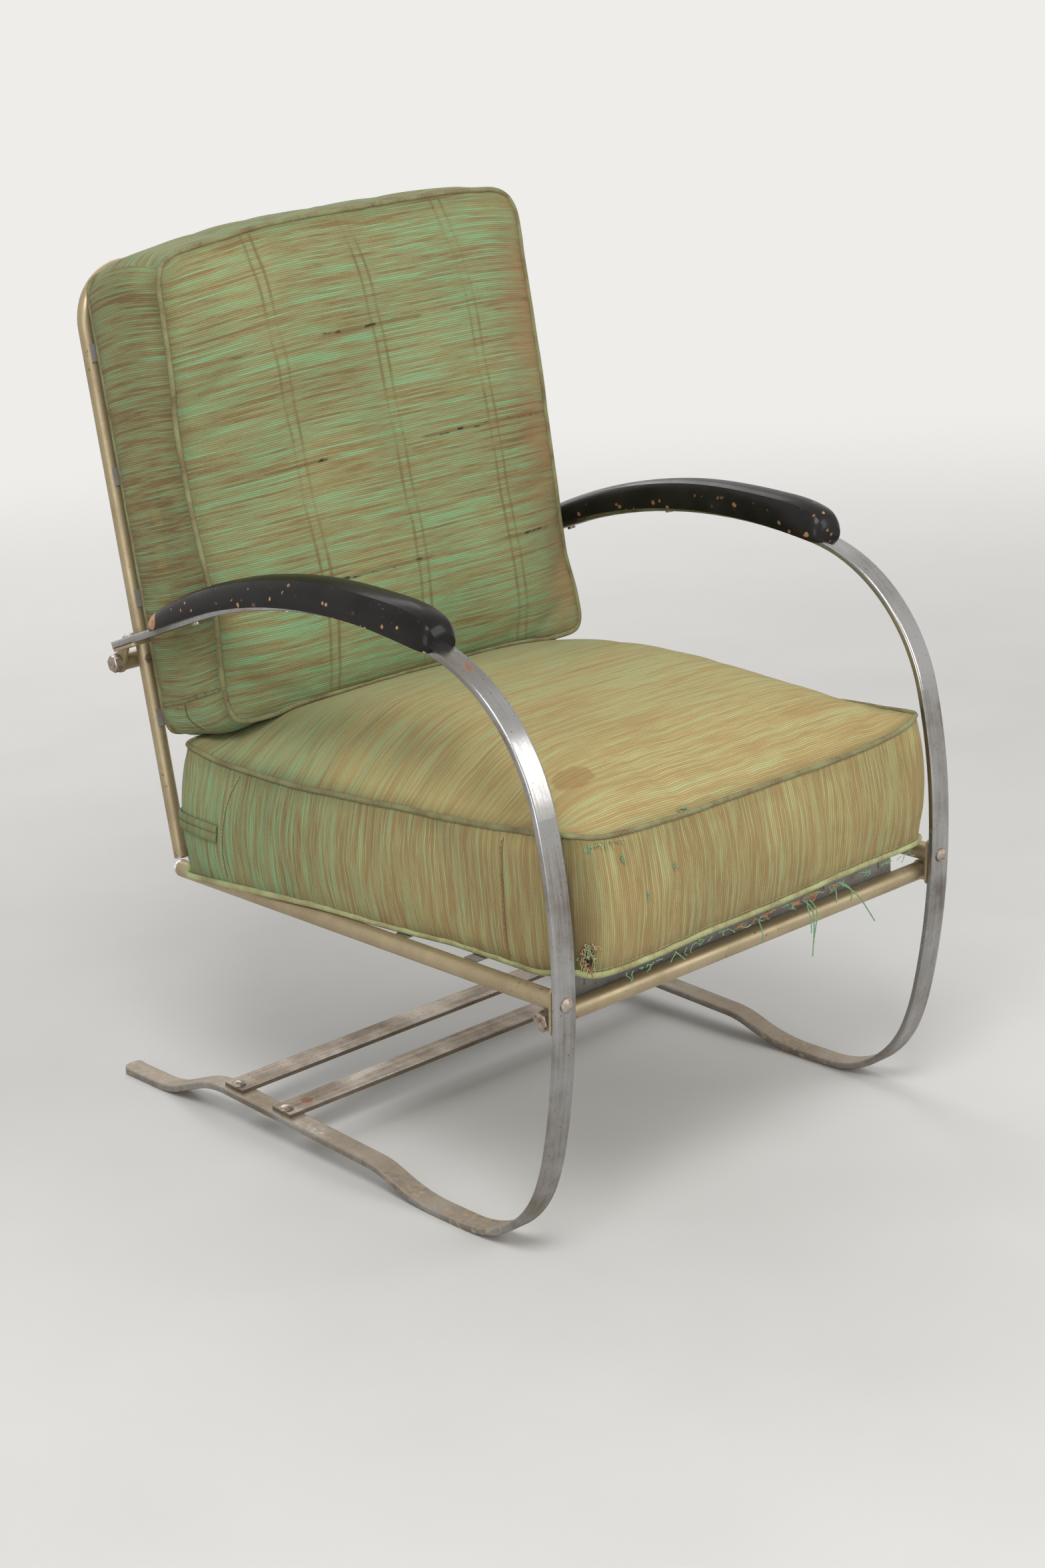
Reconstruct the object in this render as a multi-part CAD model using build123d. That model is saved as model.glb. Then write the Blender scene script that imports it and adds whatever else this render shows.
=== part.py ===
from build123d import *
from math import asin, cos, radians, sin
import os

# Cantilever armchair: two bent spring-steel bars carry a tube seat, a strapped back and loose cushions.
# Shop frame: X across, Y to the rear with 0 at the foremost face of the bars, Z up from the floor.
# All sizes are in millimetres and degrees. Bend radii are on the middle of the strip.

os.makedirs("parts", exist_ok=True)

# Side bars
BAR_SPACING = 530.0
BAR_WIDTH = 25.4
BAR_THICKNESS = 8.0
BAR_EDGE_RADIUS = 2.6
BAR_END_RADIUS = 9.0
ARM_STRAIGHT = 179.0
ARM_SLOPE = 18.3
ARM_RADIUS = 733.0
SHOULDER_RADIUS = 180.0
SHOULDER_TURN = 67.4
FRONT_RADIUS = 600.0
FRONT_TURN = 11.5
SHIN_RADIUS = 813.0
SHIN_TURN = 15.3
ANKLE_RADIUS = 276.0
ANKLE_TURN = 9.5
TOE_RADIUS = 133.0
TOE_FLAT = 41.0
RISE_RADIUS = 216.0
RISE_ANGLE = 18.0
RISE_STRAIGHT = 14.0
CREST_RADIUS = 114.0
RUNNER_SLOPE = 2.5
RUNNER_STRAIGHT = 249.0
DROP_RADIUS = 132.0
DROP_ANGLE = 21.0
HEEL_RADIUS = 124.0
HEEL_FLAT = 49.0
TAIL_RADIUS = 96.0
TAIL_ANGLE = 7.0
TAIL_STRAIGHT = 7.0

# Arm pads
PAD_WIDTH = 46.0
PAD_REAR_ALONG = 88.0
PAD_LENGTH = 479.0
PAD_GROOVE = 2.5
PAD_HEIGHT = 29.5
PAD_SCREWS_ALONG = (158.0, 328.0, 488.0)
SCREW_DIAMETER = 4.5
SCREW_HEAD = 9.0
SCREW_DEPTH = 13.0

# Floor braces
BRACE_WIDTH = 32.0
BRACE_THICKNESS = 4.5
BRACE_END_INSET = 6.0
BRACE_FRONT_ALONG = 150.0
BRACE_REAR_ALONG = 236.0
RIVET_HEAD = 16.0
RIVET_HEIGHT = 4.0
RIVET_SHANK = 8.0

# Seat frame
SEAT_TUBE_Z = 280.0
SEAT_TUBE_REAR = 620.0
TUBE_DIAMETER = 19.0
TUBE_WALL = 1.5
PLUG_LENGTH = 22.0
CROSS_PLUG_LENGTH = 16.0
CAP_LENGTH = 9.0
PLATE_THICKNESS = 3.2
PLATE_ABOVE = 17.0
PLATE_BELOW = 33.0
SEAT_BOLT_HEAD = 15.0
SEAT_BOLT_HEIGHT = 5.0
TAB_RADIUS = 11.0
FRONT_TUBE_Y = 30.0
FRONT_TUBE_Z = SEAT_TUBE_Z - TUBE_DIAMETER - 2.5
CROSS_TUBE_END_INSET = 1.0
HEX_FLATS = 17.0
HEX_HEIGHT = 7.0
HEX_SHANK = 8.0
WASHER_DIAMETER = 20.0
WASHER_THICKNESS = 1.6
SEAT_REAR_TUBE_Y = 575.0
RAIL_HALF_LENGTH = BAR_SPACING / 2 - 37
RAIL_HEIGHT = 30.0
RAIL_FLANGE = 16.0
RAIL_THICKNESS = 2.0
RAIL_TOP_BELOW_TUBE = 3.5
SLOT_WIDTH = 1.8
SLOT_HEIGHT = 9.0
STRAP_WIDTH = 19.0
STRAP_THICKNESS = 1.2
SEAT_STRAPS = 6
SEAT_STRAP_SPACING = (2 * RAIL_HALF_LENGTH - 38.5) / (SEAT_STRAPS - 1)
SEAT_CROSS_STRAPS = 4

# Back frame
BACK_HALF_WIDTH = BAR_SPACING / 2 - 21.5
BACK_TUBE = 16.0
BACK_LEAN = 7.4
BACK_FOOT_Y = 654.0
BACK_FOOT_Z = 282.0
BACK_LENGTH = 637.0
BACK_CORNER = 60.0
REAR_TUBE_Z = 499.0
LUG_THICKNESS = 4.0
LUG_FOOT_RADIUS = 7.5
LUG_BOLT_RADIUS = 9.0
LUG_CORNER_Y = 646.0
LUG_BOLT_UP = 21.0
SMALL_BOLT = 6.0
SMALL_BOLT_HEAD = 12.0
SMALL_NUT_FLATS = 10.0
SMALL_NUT_HEIGHT = 5.0
BACK_STRAP_SPACING = BACK_HALF_WIDTH / 2 + 5.25
BACK_CROSS_FIRST = 156.0
BACK_CROSS_SPACING = (BACK_LENGTH - BACK_CROSS_FIRST - 85) / 3
ARM_RIVET_ALONG = 26.0
LEAF_LENGTH = 44.0

# Cushions
SEAT_HALF_WIDTH = BAR_SPACING / 2 - 18
SEAT_REAR_FLARE = 16.0
SEAT_FRONT_Y = 5.0
SEAT_DEPTH = 613.0
SEAT_WELT_Z = 440.0
SEAT_CROWN = 44.0
CUSHION_BULGE = 5.0
SIDE_BULGE = 3.5
BACK_CUSHION_HALF_WIDTH = BAR_SPACING / 2 - 29
BACK_CUSHION_REAR = 17.0
BACK_CUSHION_THICKNESS = 129.0
BACK_CUSHION_BOTTOM = 132.0
BACK_CUSHION_TOP = BACK_LENGTH + 1
BACK_CROWN = 28.0

# Fits
FIT = 0.2
WELD_GAP = 0.1
REST_GAP = 0.3

BAR_X = BAR_SPACING / 2
TUBE_RADIUS = TUBE_DIAMETER / 2
TUBE_BORE = TUBE_RADIUS - TUBE_WALL
BACK_RADIUS = BACK_TUBE / 2
BACK_BORE = BACK_RADIUS - TUBE_WALL


def walk(bends, heading):
    """Follow straights and tangent bends from the origin and note where each one ends."""
    point = Vector(0, 0)
    edges = []
    ends = {}
    for name, radius, amount in bends:
        direction = Vector(cos(radians(heading)), sin(radians(heading)))
        if radius == 0:
            edge = Line(point, point + direction * amount)
        else:
            edge = JernArc(point, direction, radius, amount)
            heading += amount
        edges.append(edge)
        point = edge @ 1
        ends[name] = point
    return edges, ends


def runner_bends():
    """Bends of the floor runner; the sloping straight is as long as the drop to the floor needs."""
    climb = RISE_RADIUS * (1 - cos(radians(RISE_ANGLE)))
    climb += RISE_STRAIGHT * sin(radians(RISE_ANGLE))
    climb += CREST_RADIUS * (cos(radians(RUNNER_SLOPE)) - cos(radians(RISE_ANGLE)))
    climb += RUNNER_STRAIGHT * sin(radians(RUNNER_SLOPE))
    fall = DROP_RADIUS * (cos(radians(RUNNER_SLOPE)) - cos(radians(DROP_ANGLE)))
    fall += HEEL_RADIUS * (1 - cos(radians(DROP_ANGLE)))
    return [
        ("toe_flat", 0, TOE_FLAT),
        ("rise", RISE_RADIUS, RISE_ANGLE),
        ("rise_straight", 0, RISE_STRAIGHT),
        ("crest", CREST_RADIUS, RUNNER_SLOPE - RISE_ANGLE),
        ("runner", 0, RUNNER_STRAIGHT),
        ("drop", DROP_RADIUS, -RUNNER_SLOPE - DROP_ANGLE),
        ("drop_straight", 0, (climb - fall) / sin(radians(DROP_ANGLE))),
        ("heel", HEEL_RADIUS, DROP_ANGLE),
        ("heel_flat", 0, HEEL_FLAT),
        ("tail", TAIL_RADIUS, TAIL_ANGLE),
        ("tail_straight", 0, TAIL_STRAIGHT),
    ]


# The bar is walked from the rear end of the arm, over the shoulder and down to the floor
BAR_BENDS = [
    ("arm", 0, ARM_STRAIGHT),
    ("arch", ARM_RADIUS, 90 + ARM_SLOPE - SHOULDER_TURN - FRONT_TURN),
    ("shoulder", SHOULDER_RADIUS, SHOULDER_TURN),
    ("front", FRONT_RADIUS, FRONT_TURN),
    ("shin", SHIN_RADIUS, SHIN_TURN),
    ("ankle", ANKLE_RADIUS, ANKLE_TURN),
    ("toe", TOE_RADIUS, 90 - SHIN_TURN - ANKLE_TURN),
] + runner_bends()
BAR_EDGES, BAR_ENDS = walk(BAR_BENDS, 180 - ARM_SLOPE)
BAR_SHIFT = Vector(
    BAR_THICKNESS / 2 - BAR_ENDS["front"].X,
    BAR_THICKNESS / 2 - BAR_ENDS["toe"].Y,
)
BAR_PATH = Plane.YZ * (Pos(BAR_SHIFT.X, BAR_SHIFT.Y) * Wire(BAR_EDGES))
SEGMENT_START = {}
travelled = 0.0
for bend, edge in zip(BAR_BENDS, BAR_EDGES):
    SEGMENT_START[bend[0]] = travelled
    travelled += edge.length
BAR_LENGTH = travelled


def bar_point(along):
    return BAR_PATH.position_at(along, PositionMode.LENGTH)


def bar_frame(along):
    """Plane across the bar: local Y points to the inside of the bend."""
    tangent = BAR_PATH.tangent_at(along, PositionMode.LENGTH)
    return Plane(bar_point(along), x_dir=(-1, 0, 0), z_dir=tangent)


def bar_face(along, side):
    """Plane on the inner (1) or outer (-1) face of the bar, Z pointing away from the steel."""
    frame = bar_frame(along)
    outward = frame.y_dir * side
    return Plane(frame.origin + outward * (BAR_THICKNESS / 2), x_dir=(1, 0, 0), z_dir=outward)


def box_between(low, high):
    size = [high[i] - low[i] for i in range(3)]
    middle = [(high[i] + low[i]) / 2 for i in range(3)]
    return Pos(*middle) * Box(*size)


def rod_x(x_low, x_high, y, z, radius):
    return Plane((x_low, y, z), x_dir=(0, 1, 0), z_dir=(1, 0, 0)) * Cylinder(
        radius, x_high - x_low, align=(Align.CENTER, Align.CENTER, Align.MIN)
    )


def rod_y(x, y_low, y_high, z, radius):
    return Plane((x, y_low, z), x_dir=(1, 0, 0), z_dir=(0, 1, 0)) * Cylinder(
        radius, y_high - y_low, align=(Align.CENTER, Align.CENTER, Align.MIN)
    )


def hole(diameter, depth):
    """Cutting cylinder along local Z, reaching past both faces of a plate of this depth."""
    return Cylinder(diameter / 2 + FIT, 2 * depth)


def cap_arc(rim_radius, rim_height, top):
    """Spherical dome from a rim to the axis, as an arc in the revolved profile."""
    rise = top - rim_height
    radius = (rim_radius**2 + rise**2) / (2 * rise)
    half_way = rim_radius / 2
    middle = top - radius + (radius**2 - half_way**2) ** 0.5
    return ThreePointArc((rim_radius, rim_height), (half_way, middle), (0, top))


def dome_pin(head, height, shank, length):
    """Round-head pin: the head sits on local Z 0 and the shank goes down from it."""
    rim = height * 0.25
    lines = Polyline(
        (0, height), (0, -length), (shank / 2, -length), (shank / 2, 0), (head / 2, 0), (head / 2, rim)
    )
    return revolve(Plane.XZ * make_face(lines + cap_arc(head / 2, rim, height)), Axis.Z)


def flat_pin(head, height, shank, length):
    """Flat-head pin for hidden places, seated like the round-head one."""
    shaft = Cylinder(shank / 2, length, align=(Align.CENTER, Align.CENTER, Align.MAX))
    return shaft + Cylinder(head / 2, height, align=(Align.CENTER, Align.CENTER, Align.MIN))


def hex_bolt(flats, height, shank, length):
    head = extrude(RegularPolygon(flats / 2, 6, major_radius=False), height)
    head = chamfer(head.faces().sort_by(Axis.Z)[-1].edges(), 0.8)
    return head + Pos(0, 0, -length / 2) * Cylinder(shank / 2, length)


def hex_nut(flats, height, shank):
    nut = extrude(RegularPolygon(flats / 2, 6, major_radius=False), height)
    return nut - hole(shank, height)


def mirrored(shape):
    return mirror(shape, about=Plane.YZ)


def both(shape):
    return [shape, mirrored(shape)]


# Places that the seat frame hangs from
ANCHOR_Z = BAR_ENDS["front"].Y + BAR_SHIFT.Y
SEAT_BOLT_ALONG = SEGMENT_START["shin"] + SHIN_RADIUS * asin((ANCHOR_Z - SEAT_TUBE_Z) / SHIN_RADIUS)
SEAT_BACK_FACE = bar_face(SEAT_BOLT_ALONG, 1)
SEAT_FRONT_FACE = bar_face(SEAT_BOLT_ALONG, -1)
ARM_UNDER_FACE = bar_face(ARM_RIVET_ALONG, 1)
ARM_TOP_FACE = bar_face(ARM_RIVET_ALONG, -1)
TUBE_END_X = BAR_X - CROSS_TUBE_END_INSET
TAB_OUTER_X = TUBE_END_X + PLATE_THICKNESS
LEAN = radians(BACK_LEAN)
BACK_PLANE = Plane(
    (0, BACK_FOOT_Y, BACK_FOOT_Z), x_dir=(1, 0, 0), z_dir=(0, -cos(LEAN), sin(LEAN))
)


def back_axis_y(z):
    return BACK_FOOT_Y + (z - BACK_FOOT_Z) * sin(LEAN) / cos(LEAN)


REAR_TUBE_Y = back_axis_y(REAR_TUBE_Z) + (BACK_RADIUS + TUBE_RADIUS + WELD_GAP) / cos(LEAN)


def bar_blank(width):
    """The strip with square edges, used to seat other pieces on the bar."""
    return sweep(bar_frame(0) * Rectangle(width, BAR_THICKNESS), BAR_PATH)


BLANK = bar_blank(BAR_WIDTH)


def end_trim(along, direction):
    """Rounds the two corners of a bar end as seen from above."""
    frame = bar_frame(along)
    flat = Plane(frame.origin, x_dir=(1, 0, 0), z_dir=frame.y_dir)
    reach = BAR_END_RADIUS + 2
    block = Rectangle(BAR_WIDTH + 4, 2 * reach)
    kept = RectangleRounded(BAR_WIDTH, 60, BAR_END_RADIUS)
    inward = 30 if flat.y_dir.dot(frame.z_dir) * direction > 0 else -30
    return flat * extrude(block - Pos(0, inward) * kept, 20, both=True)


def brace_along(distance):
    return SEGMENT_START["runner"] + distance


def side_bar():
    section = RectangleRounded(BAR_WIDTH, BAR_THICKNESS, BAR_EDGE_RADIUS)
    bar = sweep(bar_frame(0) * section, BAR_PATH)
    bar -= end_trim(0, 1)
    bar -= end_trim(BAR_LENGTH, -1)
    for along in PAD_SCREWS_ALONG:
        bar -= bar_face(along, 1) * hole(SCREW_DIAMETER, BAR_THICKNESS + 2)
    for distance in (BRACE_FRONT_ALONG, BRACE_REAR_ALONG):
        bar -= bar_face(brace_along(distance), 1) * hole(RIVET_SHANK, BAR_THICKNESS + 2)
    bar -= SEAT_BACK_FACE * hole(RIVET_SHANK, BAR_THICKNESS + 2)
    bar -= ARM_UNDER_FACE * hole(RIVET_SHANK, BAR_THICKNESS + 2)
    return bar


def pad_section(along, width, height):
    """Cross-section of the arm pad: flat below, rounded sides and a domed top."""
    frame = bar_frame(along)
    base = -BAR_THICKNESS / 2 + PAD_GROOVE
    half = width / 2
    edges = [
        Line((-half, base), (half, base)),
        ThreePointArc((half, base), (half * 0.93, base - height * 0.56), (half * 0.62, base - height * 0.9)),
        ThreePointArc((half * 0.62, base - height * 0.9), (0, base - height), (-half * 0.62, base - height * 0.9)),
        ThreePointArc((-half * 0.62, base - height * 0.9), (-half * 0.93, base - height * 0.56), (-half, base)),
    ]
    return frame * make_face(Curve() + edges)


def arm_pad():
    # Each station: share of the length from the rear end, share of the width, share of the height
    stations = [
        (0.0, 0.56, 0.30),
        (0.02, 0.80, 0.48),
        (0.075, 0.97, 0.66),
        (0.24, 1.0, 0.80),
        (0.45, 1.0, 0.88),
        (0.65, 1.0, 0.95),
        (0.85, 1.0, 1.0),
        (0.955, 0.98, 0.97),
        (0.985, 0.90, 0.80),
        (1.0, 0.70, 0.46),
    ]
    height = PAD_HEIGHT + PAD_GROOVE
    sections = [
        pad_section(PAD_REAR_ALONG + share * PAD_LENGTH, PAD_WIDTH * wide, height * high)
        for share, wide, high in stations
    ]
    pad = loft(sections) - bar_blank(BAR_WIDTH + 2 * FIT)
    for along in PAD_SCREWS_ALONG:
        depth = BAR_THICKNESS + SCREW_DEPTH + FIT
        pad -= bar_face(along, 1) * Cylinder(SCREW_DIAMETER / 2 + FIT, 2 * depth)
    return pad


def pad_screws():
    screw = flat_pin(SCREW_HEAD, 2.6, SCREW_DIAMETER, BAR_THICKNESS + SCREW_DEPTH)
    return [bar_face(along, 1) * Pos(0, 0, WELD_GAP) * screw for along in PAD_SCREWS_ALONG]


def floor_brace(distance):
    length = BAR_SPACING + BAR_WIDTH - 2 * BRACE_END_INSET
    face = bar_face(brace_along(distance), 1)
    brace = face * Pos(0, 0, BRACE_THICKNESS / 2) * Box(length, BRACE_WIDTH, BRACE_THICKNESS)
    for side in (-1, 1):
        brace -= face * Pos(side * BAR_X, 0) * hole(RIVET_SHANK, 2 * BRACE_THICKNESS)
    return brace


def brace_rivets():
    grip = BRACE_THICKNESS + BAR_THICKNESS
    rivet = Pos(0, 0, BRACE_THICKNESS) * dome_pin(RIVET_HEAD, RIVET_HEIGHT, RIVET_SHANK, grip)
    rivets = []
    for distance in (BRACE_FRONT_ALONG, BRACE_REAR_ALONG):
        for side in (-1, 1):
            rivets.append(bar_face(brace_along(distance), 1) * Pos(side * BAR_X, 0) * rivet)
    return rivets


def tab(reach, y, z):
    """Upright tab on the end of a cross tube, joined to the given points of its plate."""
    outline = Polyline(*reach, close=True).edges() + (Pos(y, z) * Circle(TAB_RADIUS)).edges()
    return Plane.YZ * Pos(0, 0, TUBE_END_X) * extrude(make_hull(outline), PLATE_THICKNESS)


def seat_bracket():
    """Right bracket; the left one is its mirror image."""
    tall = PLATE_ABOVE + PLATE_BELOW
    blank = RectangleRounded(BAR_WIDTH, tall, 6)
    middle = (PLATE_BELOW - PLATE_ABOVE) / 2
    plate = SEAT_BACK_FACE * Pos(BAR_X, middle, -1) * extrude(blank, PLATE_THICKNESS + 1)
    near = SEAT_BACK_FACE.from_local_coords(Vector(0, PLATE_BELOW - 8, PLATE_THICKNESS - 1))
    far = SEAT_BACK_FACE.from_local_coords(Vector(0, PLATE_ABOVE - 2, PLATE_THICKNESS - 1))
    reach = [(near.Y, near.Z), (far.Y, far.Z), (far.Y + 1, far.Z)]
    bracket = plate + tab(reach, FRONT_TUBE_Y, FRONT_TUBE_Z)
    bracket -= Pos(BAR_X, 0, 0) * BLANK
    bracket -= SEAT_BACK_FACE * Pos(BAR_X, 0) * hole(RIVET_SHANK, 2 * PLATE_THICKNESS)
    bracket -= rod_x(TUBE_END_X - 1, TAB_OUTER_X + 1, FRONT_TUBE_Y, FRONT_TUBE_Z, HEX_SHANK / 2 + FIT)
    return bracket


def front_of_plate():
    """Everything ahead of the bracket plate's rear face, to trim the seat tube square to it."""
    return SEAT_BACK_FACE * Pos(BAR_X, 0, PLATE_THICKNESS - 40) * Box(60, 80, 80)


def seat_tube():
    start = SEAT_BACK_FACE.origin.Y - 5
    tube = rod_y(BAR_X, start, SEAT_TUBE_REAR, SEAT_TUBE_Z, TUBE_RADIUS)
    tube -= rod_y(BAR_X, start - 1, SEAT_TUBE_REAR + 1, SEAT_TUBE_Z, TUBE_BORE)
    return tube - front_of_plate()


def seat_tube_plug():
    start = SEAT_BACK_FACE.origin.Y - 5
    end = SEAT_BACK_FACE.origin.Y + PLATE_THICKNESS + PLUG_LENGTH
    plug = rod_y(BAR_X, start, end, SEAT_TUBE_Z, TUBE_BORE - FIT) - front_of_plate()
    return plug - SEAT_FRONT_FACE * Pos(BAR_X, 0) * hole(RIVET_SHANK, 80)


def seat_tube_cap():
    """Dome cap with a collar, pressed into the rear end of the seat tube."""
    collar = TUBE_RADIUS - WELD_GAP
    lines = Polyline(
        (0, CAP_LENGTH), (0, -PLUG_LENGTH / 2), (TUBE_BORE - FIT, -PLUG_LENGTH / 2), (TUBE_BORE - FIT, 0),
        (collar, 0), (collar, 2.2), (collar - 1.2, 2.6), (collar - 0.4, 3.4),
    )
    cap = revolve(Plane.XZ * make_face(lines + cap_arc(collar - 0.4, 3.4, CAP_LENGTH)), Axis.Z)
    return Plane((BAR_X, SEAT_TUBE_REAR, SEAT_TUBE_Z), x_dir=(1, 0, 0), z_dir=(0, 1, 0)) * cap


def seat_bolt():
    grip = BAR_THICKNESS + PLATE_THICKNESS + PLUG_LENGTH - 4
    bolt = dome_pin(SEAT_BOLT_HEAD, SEAT_BOLT_HEIGHT, RIVET_SHANK, grip)
    return SEAT_FRONT_FACE * Pos(BAR_X, 0) * bolt


def cross_tube(y, z):
    tube = rod_x(-TUBE_END_X, TUBE_END_X, y, z, TUBE_RADIUS)
    return tube - rod_x(-TUBE_END_X - 1, TUBE_END_X + 1, y, z, TUBE_BORE)


def cross_tube_plug(y, z):
    plug = rod_x(TUBE_END_X - CROSS_PLUG_LENGTH, TUBE_END_X, y, z, TUBE_BORE - FIT)
    return plug - rod_x(TUBE_END_X - 2 * CROSS_PLUG_LENGTH, TUBE_END_X + 1, y, z, HEX_SHANK / 2 + FIT)


def end_plane(x, y, z):
    return Plane((x, y, z), x_dir=(0, 1, 0), z_dir=(1, 0, 0))


def washer(y, z):
    ring = Pos(0, 0, WASHER_THICKNESS / 2) * Cylinder(WASHER_DIAMETER / 2, WASHER_THICKNESS)
    return end_plane(TAB_OUTER_X, y, z) * (ring - hole(HEX_SHANK, WASHER_THICKNESS * 2))


def cross_tube_bolt(y, z):
    length = WASHER_THICKNESS + PLATE_THICKNESS + CROSS_PLUG_LENGTH - 4
    bolt = hex_bolt(HEX_FLATS, HEX_HEIGHT, HEX_SHANK, length)
    return end_plane(TAB_OUTER_X + WASHER_THICKNESS, y, z) * Rot(0, 0, 12) * bolt


def arm_bracket():
    """Right bracket under the arm's rear end, with the tab that carries the rear cross tube."""
    blank = RectangleRounded(BAR_WIDTH, LEAF_LENGTH, 5)
    leaf = ARM_UNDER_FACE * Pos(BAR_X, 0, 0) * extrude(blank, PLATE_THICKNESS)
    rear = ARM_UNDER_FACE.from_local_coords(Vector(0, -LEAF_LENGTH / 2 + 3, PLATE_THICKNESS / 2))
    front = ARM_UNDER_FACE.from_local_coords(Vector(0, -RIVET_SHANK / 2 - 3, PLATE_THICKNESS / 2))
    reach = [(rear.Y, rear.Z), (front.Y, front.Z), (front.Y, front.Z - 1)]
    bracket = leaf + tab(reach, REAR_TUBE_Y, REAR_TUBE_Z)
    bracket -= ARM_UNDER_FACE * Pos(BAR_X, 0) * hole(RIVET_SHANK, 2 * PLATE_THICKNESS)
    bracket -= rod_x(TUBE_END_X - 1, TAB_OUTER_X + 1, REAR_TUBE_Y, REAR_TUBE_Z, HEX_SHANK / 2 + FIT)
    return bracket


def arm_rivet():
    rivet = dome_pin(RIVET_HEAD, RIVET_HEIGHT, RIVET_SHANK, BAR_THICKNESS + PLATE_THICKNESS)
    return ARM_TOP_FACE * Pos(BAR_X, 0) * rivet


RAIL_TOP = SEAT_TUBE_Z + TUBE_RADIUS - RAIL_TOP_BELOW_TUBE
STRAP_X = [SEAT_STRAP_SPACING * (i - (SEAT_STRAPS - 1) / 2) for i in range(SEAT_STRAPS)]


def seat_rear_tube():
    tube = rod_x(-BAR_X, BAR_X, SEAT_REAR_TUBE_Y, SEAT_TUBE_Z, TUBE_RADIUS)
    tube -= rod_x(-BAR_X, BAR_X, SEAT_REAR_TUBE_Y, SEAT_TUBE_Z, TUBE_BORE)
    for side in (-1, 1):
        tube -= rod_y(side * BAR_X, 0, SEAT_TUBE_REAR, SEAT_TUBE_Z, TUBE_RADIUS + WELD_GAP)
    return tube


def seat_rail(tube_y, tube_z, inward):
    """Angle rail welded to a cross tube; its flange points to the middle of the seat."""
    face = tube_y + inward * (TUBE_RADIUS + WELD_GAP)
    ends = sorted([face, face + inward * RAIL_THICKNESS])
    rail = box_between(
        (-RAIL_HALF_LENGTH, ends[0], RAIL_TOP - RAIL_HEIGHT), (RAIL_HALF_LENGTH, ends[1], RAIL_TOP)
    )
    ends = sorted([face, face + inward * (RAIL_FLANGE + RAIL_THICKNESS)])
    rail += box_between(
        (-RAIL_HALF_LENGTH, ends[0], RAIL_TOP - RAIL_THICKNESS), (RAIL_HALF_LENGTH, ends[1], RAIL_TOP)
    )
    slot_top = RAIL_TOP - RAIL_THICKNESS - 1.5
    for x in STRAP_X:
        rail -= box_between(
            (x - SLOT_WIDTH / 2, face - 3, slot_top - SLOT_HEIGHT), (x + SLOT_WIDTH / 2, face + 3, slot_top)
        )
    return rail


FRONT_RAIL_FACE = FRONT_TUBE_Y + TUBE_RADIUS + WELD_GAP + RAIL_THICKNESS
REAR_RAIL_FACE = SEAT_REAR_TUBE_Y - TUBE_RADIUS - WELD_GAP - RAIL_THICKNESS


def seat_straps():
    half = STRAP_WIDTH / 2
    return [
        box_between(
            (x - half, FRONT_RAIL_FACE, RAIL_TOP), (x + half, REAR_RAIL_FACE, RAIL_TOP + STRAP_THICKNESS)
        )
        for x in STRAP_X
    ]


def seat_cross_straps():
    low = RAIL_TOP + STRAP_THICKNESS
    high = low + STRAP_THICKNESS
    above_axis = low - SEAT_TUBE_Z
    end = BAR_X - (TUBE_RADIUS**2 - above_axis**2) ** 0.5 - REST_GAP
    half = STRAP_WIDTH / 2
    gap = (REAR_RAIL_FACE - FRONT_RAIL_FACE) / (SEAT_CROSS_STRAPS + 1)
    straps = []
    for i in range(SEAT_CROSS_STRAPS):
        y = FRONT_RAIL_FACE + gap * (i + 1)
        straps.append(box_between((-end, y - half, low), (end, y + half, high)))
    return straps


def back_u(radius):
    """Rod of this radius along the inverted U, in the plane of the back."""
    side = Line((BACK_HALF_WIDTH, 0), (BACK_HALF_WIDTH, BACK_LENGTH - BACK_CORNER))
    corner = JernArc(side @ 1, (0, 1), BACK_CORNER, 90)
    top = Line(corner @ 1, (BACK_CORNER - BACK_HALF_WIDTH, BACK_LENGTH))
    far_corner = JernArc(top @ 1, (-1, 0), BACK_CORNER, 90)
    far_side = Line(far_corner @ 1, (-BACK_HALF_WIDTH, 0))
    path = BACK_PLANE * Wire([side, corner, top, far_corner, far_side])
    start = Plane(path @ 0, x_dir=(1, 0, 0), z_dir=path % 0)
    return sweep(start * Circle(radius), path)


LUG_BOLT_Z = BACK_FOOT_Z + LUG_BOLT_UP
LUG_BOLT_Y = back_axis_y(LUG_BOLT_Z)
LUG_OUTER_X = BACK_HALF_WIDTH - BACK_RADIUS - WELD_GAP
LUG_INNER_X = LUG_OUTER_X - LUG_THICKNESS
TIE_PLANE = Plane(
    (BACK_HALF_WIDTH, REAR_TUBE_Y, REAR_TUBE_Z), x_dir=(1, 0, 0), z_dir=(0, -cos(LEAN), sin(LEAN))
)
TIE_FRONT = TUBE_RADIUS + WELD_GAP + BACK_TUBE


def tie_hole():
    return TIE_PLANE * Cylinder(SMALL_BOLT / 2 + FIT, 4 * TIE_FRONT)


def tie_bolt():
    grip = TIE_FRONT + TUBE_RADIUS + SMALL_NUT_HEIGHT
    bolt = Pos(0, 0, TIE_FRONT + FIT) * flat_pin(SMALL_BOLT_HEAD, 3.0, SMALL_BOLT, grip)
    nut = Pos(0, 0, -TUBE_RADIUS - SMALL_NUT_HEIGHT - FIT) * hex_nut(SMALL_NUT_FLATS, SMALL_NUT_HEIGHT, SMALL_BOLT)
    return TIE_PLANE * bolt, TIE_PLANE * nut


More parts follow.
